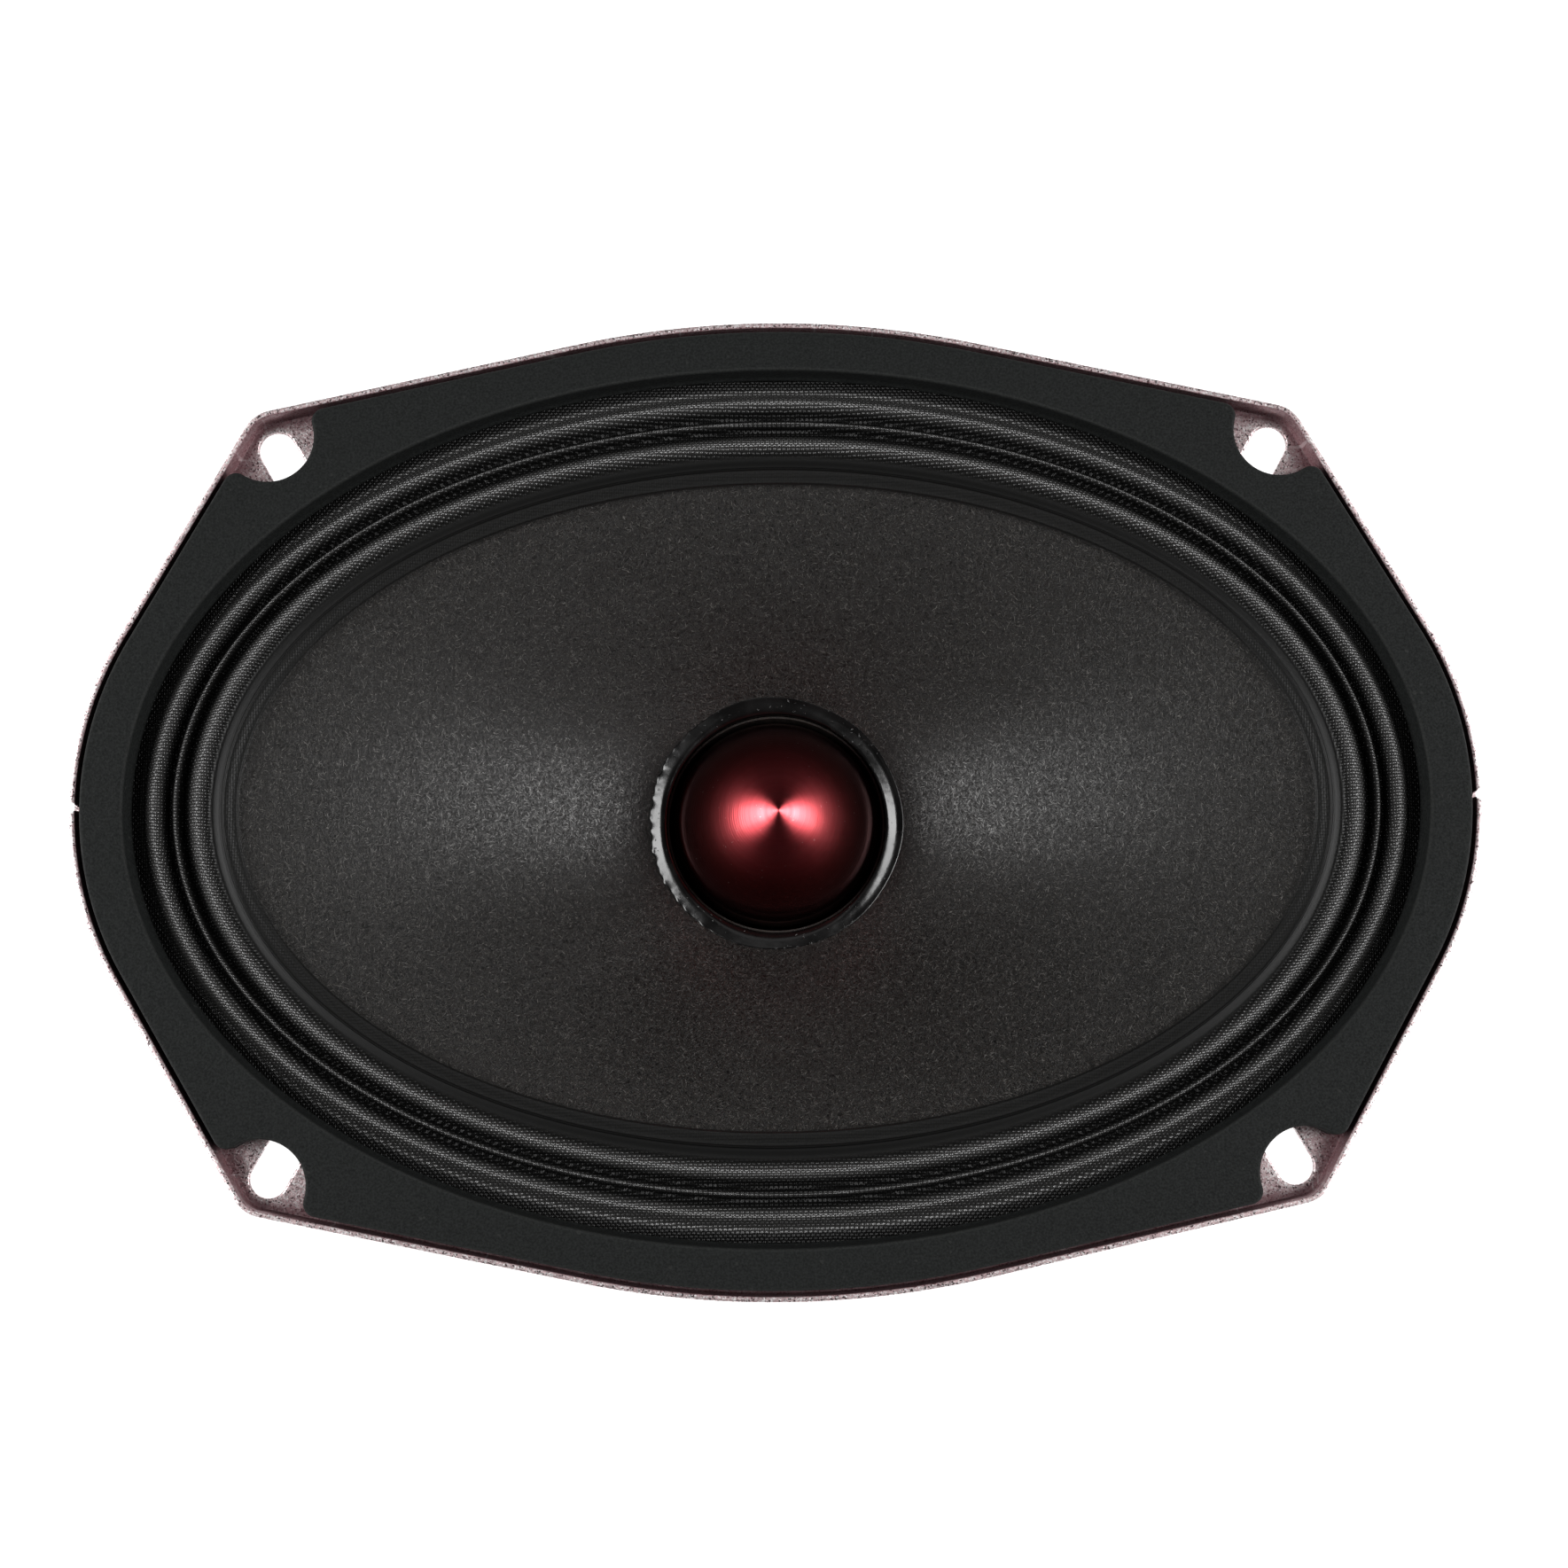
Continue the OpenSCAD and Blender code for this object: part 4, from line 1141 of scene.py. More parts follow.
def basket_skin(s):
    """The pressed basket as one closed skin: the lip and flange, the oval wall, the arms
    between eight windows, one of which is closed by the terminal pad, and the round cup."""
    shape = BasketShape(s)
    t = s.sheet
    skin = Skin()
    outline = flange_outline(s)

    # lip and the two faces of the flange, each with a narrow flat ring for clean shading
    lip_rows = [
        (1.9 * t, 0), (1.2 * t, 0), (0.65 * t, 0.08 * t), (0.25 * t, 0.3 * t), (0.04 * t, 0.7 * t),
        (0, 1.2 * t), (0, shape.lip_top - 0.35 * t), (0.1 * t, shape.lip_top - 0.1 * t),
        (0.32 * t, shape.lip_top), (0.68 * t, shape.lip_top), (0.9 * t, shape.lip_top - 0.1 * t),
        (t, shape.lip_top - 0.35 * t), (t, 1.65 * t), (1.06 * t, 1.3 * t), (1.25 * t, 1.06 * t),
        (1.6 * t, t), (1.75 * t, t)]
    lip = offset_rings(outline, lip_rows)
    inset = np.array([row[0] for row in lip_rows])[:, None]
    notch_half, notch_floor = 1.3 * MM, 1.4 * MM
    in_notch = (np.abs(outline[0][:, 1]) < notch_half - np.clip(inset, 0, t)) & (
        np.abs(outline[0][:, 0]) > BASKET_HIGH[0] - 2 * MM)
    lip[..., 2] = np.where(in_notch, np.minimum(lip[..., 2], notch_floor), lip[..., 2])
    # the lip's inner wall and the floor of the gap beside the gasket are marked for painted shade
    # in the enamel
    crest_row = 9
    painted_shade_rows = [k > crest_row and row[0] > 0.8 * t and row[1] > 0
                 for k, row in enumerate(lip_rows)]
    lip_ids = skin.block(lip, np.array(painted_shade_rows, float))
    skin.grid(lip_ids, wrap_columns=True)

    # screw slots: a rounded front edge, the punched wall and a crisp back edge
    front_loops = [(lip[-1, :, :2], lip_ids[-1])]
    back_loops = [(lip[0, :, :2], lip_ids[0])]
    slot_rows = [(0.45 * t, t), (0.35 * t, t), (0.16 * t, 0.94 * t), (0.04 * t, 0.8 * t),
                 (0, 0.55 * t), (0, 0.2 * t), (0.12 * t, 0), (0.6 * t, 0)]
    for quadrant in ((1, 1), (-1, 1), (-1, -1), (1, -1)):
        points, normals = slot_outline(s, quadrant)
        rings = offset_rings((points, normals), slot_rows)
        ids = skin.block(rings)
        skin.grid(ids, wrap_columns=True)
        front_loops.append((rings[0, :, :2], ids[0]))
        back_loops.append((rings[-1, :, :2], ids[-1]))

    # columns of the wall, the arms and the cup
    tops, bottoms = shape.columns()
    top, bottom = np.concatenate(tops), np.concatenate(bottoms)
    reach = oval_reach(s, top)

    def column(distance, height):
        return np.stack([distance + 0 * reach, height + 0 * reach], 1)

    inner_wall = bend_rows([
        column(reach + 2.6 * t, t), column(reach + 1.9 * t, t), column(reach, t),
        column(reach, WALL_Z + 3 * t), column(reach, WALL_Z + t)],
        [0, 0, 1.5 * t, 0, 0])
    outer_wall = bend_rows([
        column(reach + 3.4 * t, 0), column(reach + 2.7 * t, 0), column(reach + t, 0),
        column(reach + t, WALL_Z + 3 * t), column(reach + t, WALL_Z)],
        [0, 0, 1.2 * t, 0, 0])
    inner_ids = skin.block(polar_rows(inner_wall, top))
    outer_ids = skin.block(polar_rows(outer_wall, top))
    skin.grid(inner_ids, wrap_columns=True)
    skin.grid(outer_ids, wrap_columns=True)
    front_loops.append((polar_rows(inner_wall, top)[0, :, :2], inner_ids[0]))
    back_loops.append((polar_rows(outer_wall, top)[0, :, :2], outer_ids[0]))
    flat_sheet(skin, front_loops)
    flat_sheet(skin, back_loops)

    # cup, from the outer foot of the arms round its floor to their inner foot
    cup_r, ledge, floor = shape.cup_r, LEDGE_Z, shape.floor_z
    cup = rounded([
        (cup_r, ledge - 2 * t, 0), (cup_r - 1.8 * t, ledge - 3.4 * t, 1.2 * t),
        (cup_r - 4.2 * t, floor, 1.4 * t),
        (CUP_BORE, floor, 0.3 * t), (CUP_BORE, floor + t, 0.3 * t),
        (cup_r - 5.2 * t, floor + t, 1.0 * t), (cup_r - 3.2 * t, ledge - t, 0.8 * t),
        (LEDGE_BORE, ledge - t, 0.4 * t), (LEDGE_BORE, ledge, 0.4 * t), (cup_r - t, ledge, 0.4 * t),
        (cup_r - t, ledge + 1.2 * t, 0)], 3)
    cup_rings = polar_rows(np.broadcast_to(cup[:, None], (len(cup), len(bottom), 2)), bottom)
    skin.grid(skin.block(cup_rings), wrap_columns=True)

    # sloped part: straight from ring to ring, but along the pad's own profile at the pad
    def sloped(turn_top, turn_bottom, share, depth):
        """Point between the rings: share 0 is the oval wall's edge and 1 the cup's edge;
        depth 0 is the back skin and 1 the skin that faces the cone."""
        start_r = oval_reach(s, turn_top) + t * (1 - depth)
        start_z = WALL_Z + t * depth
        stop_r = cup_r - t * depth
        stop_z = ledge - 2 * t + 1.4 * t * depth
        r = start_r + (stop_r - start_r) * share
        z = start_z + (stop_z - start_z) * share + 1.8 * t * depth * smooth(share * 12 - 11) + 0 * r
        turn = turn_top + (turn_bottom - turn_top) * share
        return np.stack([r * np.cos(turn), r * np.sin(turn), z], -1)

    half = np.pi / SECTORS
    for k, middle in enumerate(shape.middles):
        if k == PAD_SECTOR:
            pad_sector(skin, shape, tops[k], bottoms[k], sloped)
            continue

        def surface(depth, middle=middle):
            def at(square, hole, share, curl):
                low = (hole[:, 1] + 1) / 2 * WINDOW_RUN + WINDOW_START
                here_r = oval_reach(s, middle) * (1 - low) + cup_r * low
                room = 1 - np.arcsin(np.minimum(ARM_HALF / here_r, 0.9)) / half
                target = np.stack([hole[:, 0] * room, low], 1)
                edge = np.stack([square[:, 0], (square[:, 1] + 1) / 2], 1)
                both = edge * (1 - share) + target * share
                turn = middle + both[:, 0] * half
                points = sloped(turn, turn, both[:, 1], depth)
                run = oval_reach(s, turn) - cup_r
                fall = WALL_Z - ledge
                slope = np.hypot(run, fall)
                inward = np.stack([
                    -fall / slope * np.cos(turn), -fall / slope * np.sin(turn), run / slope], 1)
                return points + inward * curl
            return at
        window_patch(skin, surface(0), surface(1), SECTOR_STEPS, ARM_STEPS)
    return skin


def pad_sector(skin, shape, tops, bottoms, sloped):
    """The closed sector: columns near its middle follow the flat pad that stands behind
    the terminal block, and the outer columns the plain slope between the rings."""
    t = shape.sheet
    middle = shape.middles[PAD_SECTOR]
    half = np.pi / SECTORS
    turn_top = np.append(tops, middle + half)[None]
    turn_bottom = np.append(bottoms, middle + half)[None]
    share = np.linspace(0, 1, ARM_STEPS + 1)[:, None]
    pad_top, pad_foot = -14.6 * MM, -37 * MM
    for depth in (0, 1):
        plain = sloped(turn_top, turn_bottom, share, depth)
        start, stop = plain[0], plain[-1]

        def corner(share_of_x, lap, height):
            x = start[:, 0] + (stop[:, 0] - start[:, 0]) * share_of_x
            y = np.full_like(x, shape.pad_y + lap)
            return np.stack([x, y, np.full_like(x, height)], 1)
        lap = 1.2 * t * depth
        high = corner(0.1, lap, pad_top + t * depth)
        low = corner(0.92, lap, pad_foot + 0.4 * t * depth)
        pad = bend_rows([start, high, low, stop], [0, 1.4 * t, 1.6 * t, 0])
        weight = 1 - smooth((np.abs(start[:, 0]) - shape.pad_half) / (2.2 * MM))[None, :, None]
        skin.grid(skin.block(plain * (1 - weight) + pad * weight))


# ---------------------------------------------------------------- soft parts

def oval_rings(a, b, rows, count=256):
    """Rings of an oval a by b moved inwards: each row is (distance inwards, height)."""
    angle = np.linspace(0, 2 * np.pi, count, endpoint=False)
    rows = np.array(rows)
    return np.stack([
        (a - rows[:, :1]) * np.cos(angle), (b - rows[:, :1]) * np.sin(angle),
        rows[:, 1:] + 0 * angle], -1)


def oval_depth(s, points):
    """How far inwards from the opening each point lies: the d at which the point is on the
    oval (a - d) by (b - d), found by halving the interval."""
    low, high = np.full(len(points), -8 * MM), np.full(len(points), 30 * MM)
    for _ in range(24):
        middle = (low + high) / 2
        outside = (points[:, 0] / (s.opening_a - middle)) ** 2 + (
            points[:, 1] / (s.opening_b - middle)) ** 2 > 1
        high = np.where(outside, middle, high)
        low = np.where(outside, low, middle)
    return (low + high) / 2


def follow(piece):
    """Bakes a piece's placement into its mesh."""
    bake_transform(piece)


def mesh_points(mesh):
    """All points of a mesh as an array."""
    flat = np.empty(len(mesh.vertices) * 3)
    mesh.vertices.foreach_get("co", flat)
    return flat.reshape(-1, 3)


def point_value(mesh, name, values):
    """Stores one value a point under a name, for a material to read."""
    attribute = mesh.attributes.new(name, "FLOAT", "POINT")
    attribute.data.foreach_set("value", values.astype(np.float32))


def wave_profile(knots, steps):
    """Points of (distance, height): half a cosine wave from each knot to the next."""
    knots = np.array(knots)
    share = np.arange(steps) / steps
    spans = knots[:-1, None, :] + (knots[1:] - knots[:-1])[:, None, :] * np.stack(
        [share, (1 - np.cos(np.pi * share)) / 2], 1)
    return np.concatenate([spans.reshape(-1, 2), knots[-1:]])


def thick_rows(front, thickness):
    """Closed section of a thin skin: its front rows, then the same rows shifted back along
    their normals, in turn."""
    front = np.array(front)
    along = np.gradient(front, axis=0)
    along /= np.linalg.norm(along, axis=1, keepdims=True)
    normal = np.stack([-along[:, 1], along[:, 0]], 1)
    if normal[:, 1].mean() > 0:
        normal = -normal
    return np.concatenate([front, (front + normal * thickness)[::-1]])


def surround_skin(s):
    """Pleated cloth: two large rolls with a small one between them, then a smooth lap
    with a fine ridge that is glued over the edge of the cone. Heights follow half cosine
    waves between knots."""
    knots = np.array([
        [-3.6, 1.6], [1.2, 1.6], [3.5, 4.4], [6.0, 1.8], [7.0, 3.6], [8.1, 1.8],
        [10.7, 4.4], [13.0, 2.3], [14.4, 2.6], [14.7, 2.95], [15.0, 2.65], [16.9, 2.1],
        [17.25, 1.75]]) * MM
    front = wave_profile(knots, 8)
    rings = oval_rings(s.opening_a, s.opening_b, thick_rows(front, 0.5 * MM))
    skin = Skin()
    skin.grid(skin.block(rings), wrap_rows=True, wrap_columns=True)
    return skin


def rows_from(height, *rows):
    """Rows of a profile, (distance, height), given in millimetres from a height."""
    return [(distance * MM, height + rise * MM) for distance, rise in rows]


def gasket_skin(s):
    """Foam ring: its outer edge follows the flange with scallops for the screws, and its
    inner edge is an oval with a rolled rim. It is undercut where the surround lies."""
    top, bottom = GASKET_HIGH[2], GASKET_LOW[2]
    skin = Skin()
    outer_rows = [
        *rows_from(bottom, (1, 0), (0.4, 0), (0.1, 0.1), (0, 0.4)),
        *rows_from(top, (0, -0.45), (0.08, -0.2), (0.25, -0.05), (0.5, 0), (1.1, 0))]
    outer = offset_rings(scallop_outline(s, 1.9 * MM), outer_rows)
    a, b = s.opening_a + 1 * MM, s.opening_b + 1.5 * MM
    inner_rows = [
        *rows_from(top, (-1.3, 0), (-0.6, 0), (-0.35, -0.04), (-0.15, -0.15), (-0.04, -0.35),
                   (0, -0.7)),
        *rows_from(bottom, (0.18, 2.3), (0.3, 1.7), (0.5, 1.45), (0.62, 1.2), (0.6, 0.9),
                   (0.45, 0.7), (0.1, 0.65), (-2.8, 0.65), (-3.1, 0.5), (-3.1, 0), (-3.6, 0))]
    inner = oval_rings(a, b, inner_rows, 320)
    outer_ids, inner_ids = skin.block(outer), skin.block(inner)
    skin.grid(outer_ids, wrap_columns=True)
    skin.grid(inner_ids, wrap_columns=True)
    flat_sheet(skin, [(outer[-1, :, :2], outer_ids[-1]), (inner[0, :, :2], inner_ids[0])])
    flat_sheet(skin, [(outer[0, :, :2], outer_ids[0]), (inner[-1, :, :2], inner_ids[-1])])
    return skin


def cone_height(t):
    """Height of the cone's front at a share t of the way from neck to rim: the height goes
    with t plus the belly times t times (1 - t)."""
    return NECK_Z + (CONE_RIM_Z - NECK_Z) * (t + CONE_BELLY * t * (1 - t))


def cone_skin(s):
    """Paper cone: an oval rim run down to a round neck. Its rings go evenly from the neck
    circle to the rim oval, and a turned-up edge ends them."""
    rim_a, rim_b = s.opening_a - RIM_INSET, s.opening_b - RIM_INSET
    paper, edge = 0.8 * MM, 2.4 * MM
    t = np.linspace(0, 1, 40)
    angle = np.linspace(0, 2 * np.pi, 256, endpoint=False)

    def skin_rows(lower):
        reach_a = np.append(NECK_R + (rim_a - NECK_R) * t, [rim_a + 0.3 * MM, rim_a + edge])
        reach_b = np.append(NECK_R + (rim_b - NECK_R) * t, [rim_b + 0.3 * MM, rim_b + edge])
        z = np.append(cone_height(t), [CONE_RIM_Z + 0.15 * MM, CONE_RIM_Z + 0.5 * MM]) - lower
        return np.stack([reach_a[:, None] * np.cos(angle), reach_b[:, None] * np.sin(angle),
                         z[:, None] + 0 * angle], -1)
    skin = Skin()
    rows = np.concatenate([skin_rows(0), skin_rows(paper)[::-1]])
    skin.grid(skin.block(rows), wrap_rows=True, wrap_columns=True)
    return skin


def cone_front(s, out, angle):
    """Points on the cone's front at distances out from its neck and at angles round it:
    the share t of the way to the rim is out over the room between neck and rim."""
    rim_a, rim_b = s.opening_a - RIM_INSET, s.opening_b - RIM_INSET
    t = out / (np.hypot(rim_a * np.cos(angle), rim_b * np.sin(angle)) - NECK_R)
    reach_a = NECK_R + (rim_a - NECK_R) * t
    reach_b = NECK_R + (rim_b - NECK_R) * t
    return np.stack([reach_a * np.cos(angle), reach_b * np.sin(angle), cone_height(t)], -1)


def glue_skin(s):
    """Cement on the cone round the former. It is heaped against the former and ragged on
    the left, where the sum of fast waves moves its foot, and smooth and low on the right."""
    angle = np.linspace(0, 2 * np.pi, 360, endpoint=False)
    left = np.clip(-np.cos(angle - 0.1), 0, 1) ** 2
    bead = np.clip(np.cos(angle - 0.45), 0, 1) ** 0.7
    ragged = (np.sin(23 * angle) + np.sin(41 * angle + 2) + np.sin(67 * angle + 1)) * left
    slow = np.sin(3 * angle + 1) + 0.6 * np.sin(7 * angle + 2)
    reach = (3.05 + 0.12 * slow) * MM
    share = np.array([0, 0.06, 0.14, 0.26, 0.40, 0.54, 0.68, 0.80, 0.90, 0.97, 1.0])[:, None]
    thin = np.array([2.50, 2.50, 2.45, 2.30, 1.96, 1.50, 1.05, 0.66, 0.34, 0.12, -0.1])[:, None]
    thick = np.array([2.50, 2.42, 2.19, 1.79, 1.32, 0.85, 0.45, 0.26, 0.14, 0.03, -0.1])[:, None]
    lift = (thin * (1 - bead) + thick * bead) * MM
    spread = reach * share + 0.11 * MM * ragged * share ** 8
    front = cone_front(s, spread, angle)
    front[..., 2] += lift
    back = cone_front(s, spread[::-1], angle)
    back[..., 2] -= 0.3 * MM
    skin = Skin()
    skin.grid(skin.block(np.concatenate([front, back[1:]])), wrap_rows=True, wrap_columns=True)
    return skin


def bullet_skin():
    """Bullet: a short straight foot, then a nose whose radius is the foot's times
    (1 - t squared) to the power 0.88 as t goes from foot to tip."""
    foot_r, foot_z = BULLET_HIGH[0], -32.5 * MM
    low, tip = BULLET_LOW[2], BULLET_HIGH[2]
    t = np.sin(np.linspace(0, np.pi / 2, 56))[:-1]
    nose = np.stack([foot_r * (1 - t ** 2) ** 0.88, foot_z + (tip - foot_z) * t], 1)
    foot = np.array([(foot_r - 0.5 * MM, low), (foot_r - 0.12 * MM, low + 0.12 * MM),
                     (foot_r, low + 0.5 * MM), (foot_r, foot_z - 0.3 * MM)])
    return turned(np.concatenate([foot, nose]), 192, closed=False)


def wound_profile(radius, depth, low, high, turns):
    """Outside of a winding: a bulge for every turn, which follows the size of a sine."""
    edge = np.linspace(low, high, turns * 4 + 1)
    bulge = np.abs(np.sin(np.linspace(0, np.pi * turns, turns * 4 + 1)))
    return np.stack([radius - depth * (1 - bulge), edge], 1)


def spider_skin():
    """Corrugated cloth ring: sine waves between the collar and a flat rim."""
    inner, flat, outer = COLLAR_HIGH[0], 45.6 * MM, 50 * MM
    base, swing, waves, cloth = LEDGE_Z + 0.65 * MM, 1.2 * MM, 5, 0.5 * MM
    t = np.linspace(0, 1, 91)
    corrugated = np.stack([
        inner + (flat - inner) * t, base + swing * np.sin(2 * np.pi * waves * t)], 1)
    rows = np.concatenate([corrugated, [(outer - 0.1 * MM, base), (outer, base - 0.1 * MM)]])
    return turned(thick_rows(rows, cloth), 160)


def lead_path():
    """Route of a tinsel lead from its lug to the coil: distance below the long axis and
    height, drawn as a smooth curve through the points."""
    route = np.array([
        [55.9, -20.2], [54.2, -20.2], [52, -20.9], [49, -22.9], [46, -25.3], [43, -27.5],
        [40, -29.3], [37, -30.7], [34, -31.8], [31, -32.6], [28, -33.1], [25, -33.4],
        [22, -33.4]]) * MM
    at = np.arange(len(route))
    fine = np.linspace(0, len(route) - 1, 121)
    whole = np.minimum(fine.astype(int), len(route) - 2)
    u = (fine - whole)[:, None]
    slope = np.gradient(route, at, axis=0)
    p, q, m, n = route[whole], route[whole + 1], slope[whole], slope[whole + 1]
    return (p * (1 + 2 * u) * (1 - u) ** 2 + m * u * (1 - u) ** 2
            + q * u ** 2 * (3 - 2 * u) + n * u ** 2 * (u - 1))


def lead_skin(x):
    """Braided lead: a round tube with two sets of strands that cross. The radius grows by
    the larger of two waves that run round the tube in opposite turns."""
    path = lead_path()
    centre = np.stack([np.full(len(path), x), -path[:, 0], path[:, 1]], 1)
    along = np.gradient(centre, axis=0)
    along /= np.linalg.norm(along, axis=1, keepdims=True)
    side = np.array([1.0, 0.0, 0.0])
    up = np.cross(side, along)
    sides = 24
    angle = np.linspace(0, 2 * np.pi, sides, endpoint=False)
    strands, twist = 2, 40 * 1.3
    run = np.linspace(0, 1, len(path))[:, None] * twist
    one = np.abs(np.sin(strands * angle + run))
    two = np.abs(np.sin(strands * angle - run))
    core, strand = 0.72, 0.17
    radius = (core + strand * np.maximum(one, two)) * MM
    rings = centre[:, None] + radius[..., None] * (
        side * np.cos(angle)[:, None] + up[:, None] * np.sin(angle)[:, None])
    return Skin().pipe(rings)


def spring_skin(node, x, y):
    """Coil spring that fills its node's box: a wire carried up a helix that rises slowly
    over the flat share at both ends and evenly between them."""
    low, high = edges(node)
    wire = 0.34 * MM
    radius = (high[0] - low[0]) / 2 - wire
    turns, per_turn = 6, 28
    share = np.linspace(0, 1, turns * per_turn + 1)
    flat, slow = 0.07, 0.12
    rise = np.clip((share - flat) / (1 - 2 * flat), 0, 1) * (1 - slow) + share * slow
    angle = 2 * np.pi * turns * share
    path = np.stack([x + radius * np.cos(angle), y + radius * np.sin(angle),
                     low[2] + wire + (high[2] - low[2] - 2 * wire) * rise], 1)
    return tube(path, wire, 10)


# ---------------------------------------------------------------- operators

def settings():
    """Sizes and colours of the speaker in this scene."""
    scene = bpy.context.scene
    return scene.speaker_sizes, scene.speaker_colours


class BuildStage(bpy.types.Operator):
    """Camera over the front, a pale floor and two large side lights"""
    bl_idname = "speaker.stage"
    bl_label = "Stage"

    def execute(self, context):
        scene = context.scene
        tilt, yaw, roll = math.radians(6.84), math.radians(-1.32), math.radians(-0.72)
        target, distance = np.array([0, 0, 5 * MM]), 0.4
        back = np.array([math.sin(yaw) * math.cos(tilt), -math.sin(tilt),
                         math.cos(yaw) * math.cos(tilt)])
        right = np.cross([0, 1, 0], back)
        right /= np.linalg.norm(right)
        up = np.cross(back, right)
        across = right * math.cos(roll) + up * math.sin(roll)
        upward = up * math.cos(roll) - right * math.sin(roll)
        data = bpy.data.cameras.new("Camera")
        data.sensor_width, data.lens = 36, 55.25
        data.shift_x, data.shift_y = 0.0024, 0.0106
        data.clip_start, data.clip_end = 0.01, 20
        camera = bpy.data.objects.new("Camera", data)
        scene.collection.objects.link(camera)
        matrix = np.eye(4)
        matrix[:3, 0], matrix[:3, 1], matrix[:3, 2] = across, upward, back
        matrix[:3, 3] = target + back * distance
        camera.matrix_world = Matrix(matrix.tolist())
        scene.camera = camera
        scene.view_settings.view_transform = "Standard"

        floor = bpy.data.meshes.new("Floor")
        reach, level = 6.0, CAD_BOX[0][2]
        floor.from_pydata([(-reach, -reach, level), (reach, -reach, level), (reach, reach, level),
                           (-reach, reach, level)], [], [(0, 1, 2, 3)])
        floor.materials.append(floor_card())
        floor_object = bpy.data.objects.new("Floor", floor)
        scene.collection.objects.link(floor_object)

        world = bpy.data.worlds.new("Studio")
        world.use_nodes = True
        studio = Tree(world.node_tree)
        seen = studio.add("LightPath").outputs["Is Camera Ray"]
        backdrop = world.node_tree.nodes["Background"]
        studio.feed(backdrop.inputs["Color"], studio.blend(seen, (0.02, 0.02, 0.02), (1, 1, 1)))
        scene.world = world
        for name, turn, lift, power, width in (
                ("Right Light", 0, 33, 17, 0.8), ("Left Light", 180, 33, 17, 0.8),
                ("Top Light", 90, 60, 0.3, 0.5)):
            self.softbox(scene, name, math.radians(turn), math.radians(lift), power, width)
        return {"FINISHED"}

    def softbox(self, scene, name, turn, lift, power, width):
        """Square light 1.2 m from the middle, at a turn round the axis and a lift above
        the floor, facing the middle."""
        light = bpy.data.lights.new(name, "AREA")
        light.shape, light.size, light.energy = "SQUARE", width, power
        lamp = bpy.data.objects.new(name, light)
        reach = 1.2
        where = Vector((math.cos(turn) * math.cos(lift), math.sin(turn) * math.cos(lift),
                        math.sin(lift))) * reach
        lamp.location = where
        lamp.rotation_euler = where.to_track_quat("Z", "Y").to_euler()
        scene.collection.objects.link(lamp)


class BuildBasket(bpy.types.Operator):
    """Pressed steel basket with its flange, arms, terminal pad and cup"""
    bl_idname = "speaker.basket"
    bl_label = "Basket"

    def execute(self, context):
        sizes, colours = settings()
        mesh = basket_skin(sizes).mesh("Basket")
        place("Basket", mesh, basket_enamel(colours), "frame", "basket_paint", "basket")
        return {"FINISHED"}


class BuildGasket(bpy.types.Operator):
    """Foam gasket round the opening"""
    bl_idname = "speaker.gasket"
    bl_label = "Gasket"

    def execute(self, context):
        sizes, colours = settings()
        mesh = gasket_skin(sizes).mesh("Gasket")
        points = mesh_points(mesh)
        # rows just under the top face, the rounded edges, are marked for a painted highlight in the
        # foam
        below = GASKET_HIGH[2] - points[:, 2]
        point_value(mesh, "edge_highlight", ((below > 0.03 * MM) & (below < 0.7 * MM)).astype(float))
        place("Gasket", mesh, gasket_foam(colours), "frame", "gasket_foam", "gasket")
        return {"FINISHED"}


class BuildSurround(bpy.types.Operator):
    """Pleated cloth surround"""
    bl_idname = "speaker.surround"
    bl_label = "Surround"

    def execute(self, context):
        sizes, colours = settings()
        mesh = surround_skin(sizes).mesh("Surround", 60)
        piece = place("Surround", mesh, surround_cloth(colours, sizes), None,
                      "surround_cloth", "surround")
        points = mesh_points(mesh)
        depth = oval_depth(sizes, points)
        point_value(mesh, "doped", ramp(depth, 12, 1) * (1 - 0.2 * ramp(depth, 14.8, 0.3)))
        # crest marks the raised tops of the rolls and their outer flank; the cloth paints shade
        # into the valleys outside it
        outer_flank = ramp(depth, 0.5, 0.5) * ramp(-depth, -3.5, 0.5)
        raised = ramp(points[:, 2], 2.5, 1.5)
        point_value(mesh, "crest", np.maximum(raised, outer_flank))
        follow(piece)
        return {"FINISHED"}


class BuildCone(bpy.types.Operator):
    """Paper cone and the cement at its neck"""
    bl_idname = "speaker.cone"
    bl_label = "Cone"

    def execute(self, context):
        sizes, colours = settings()
        place("Cone", cone_skin(sizes).mesh("Cone", 40), cone_paper(colours),
              "moving_cone", "cone_paper", "cone")
        place("Neck_Glue", glue_skin(sizes).mesh("Neck Glue", 60), black_glue(),
              "moving_cone", "black_glue", "neck_glue")
        return {"FINISHED"}


class BuildBullet(bpy.types.Operator):
    """Turned bullet on the pole, and the screw and washer that hold it"""
    bl_idname = "speaker.bullet"
    bl_label = "Bullet"

    def execute(self, context):
        _, colours = settings()
        place("Bullet", bullet_skin().mesh("Bullet", 40), bullet_metal(colours),
              "frame", "red_anodised", "bullet")
        zinc = zinc_plate()
        bevelled_node("Bullet_Screw", "bullet_screw", 0.3 * MM, zinc, "frame", "zinc_screw")
        bevelled_node("Bullet_Washer", "bullet_washer", 0.2 * MM, zinc, "frame", "zinc_screw")
        return {"FINISHED"}


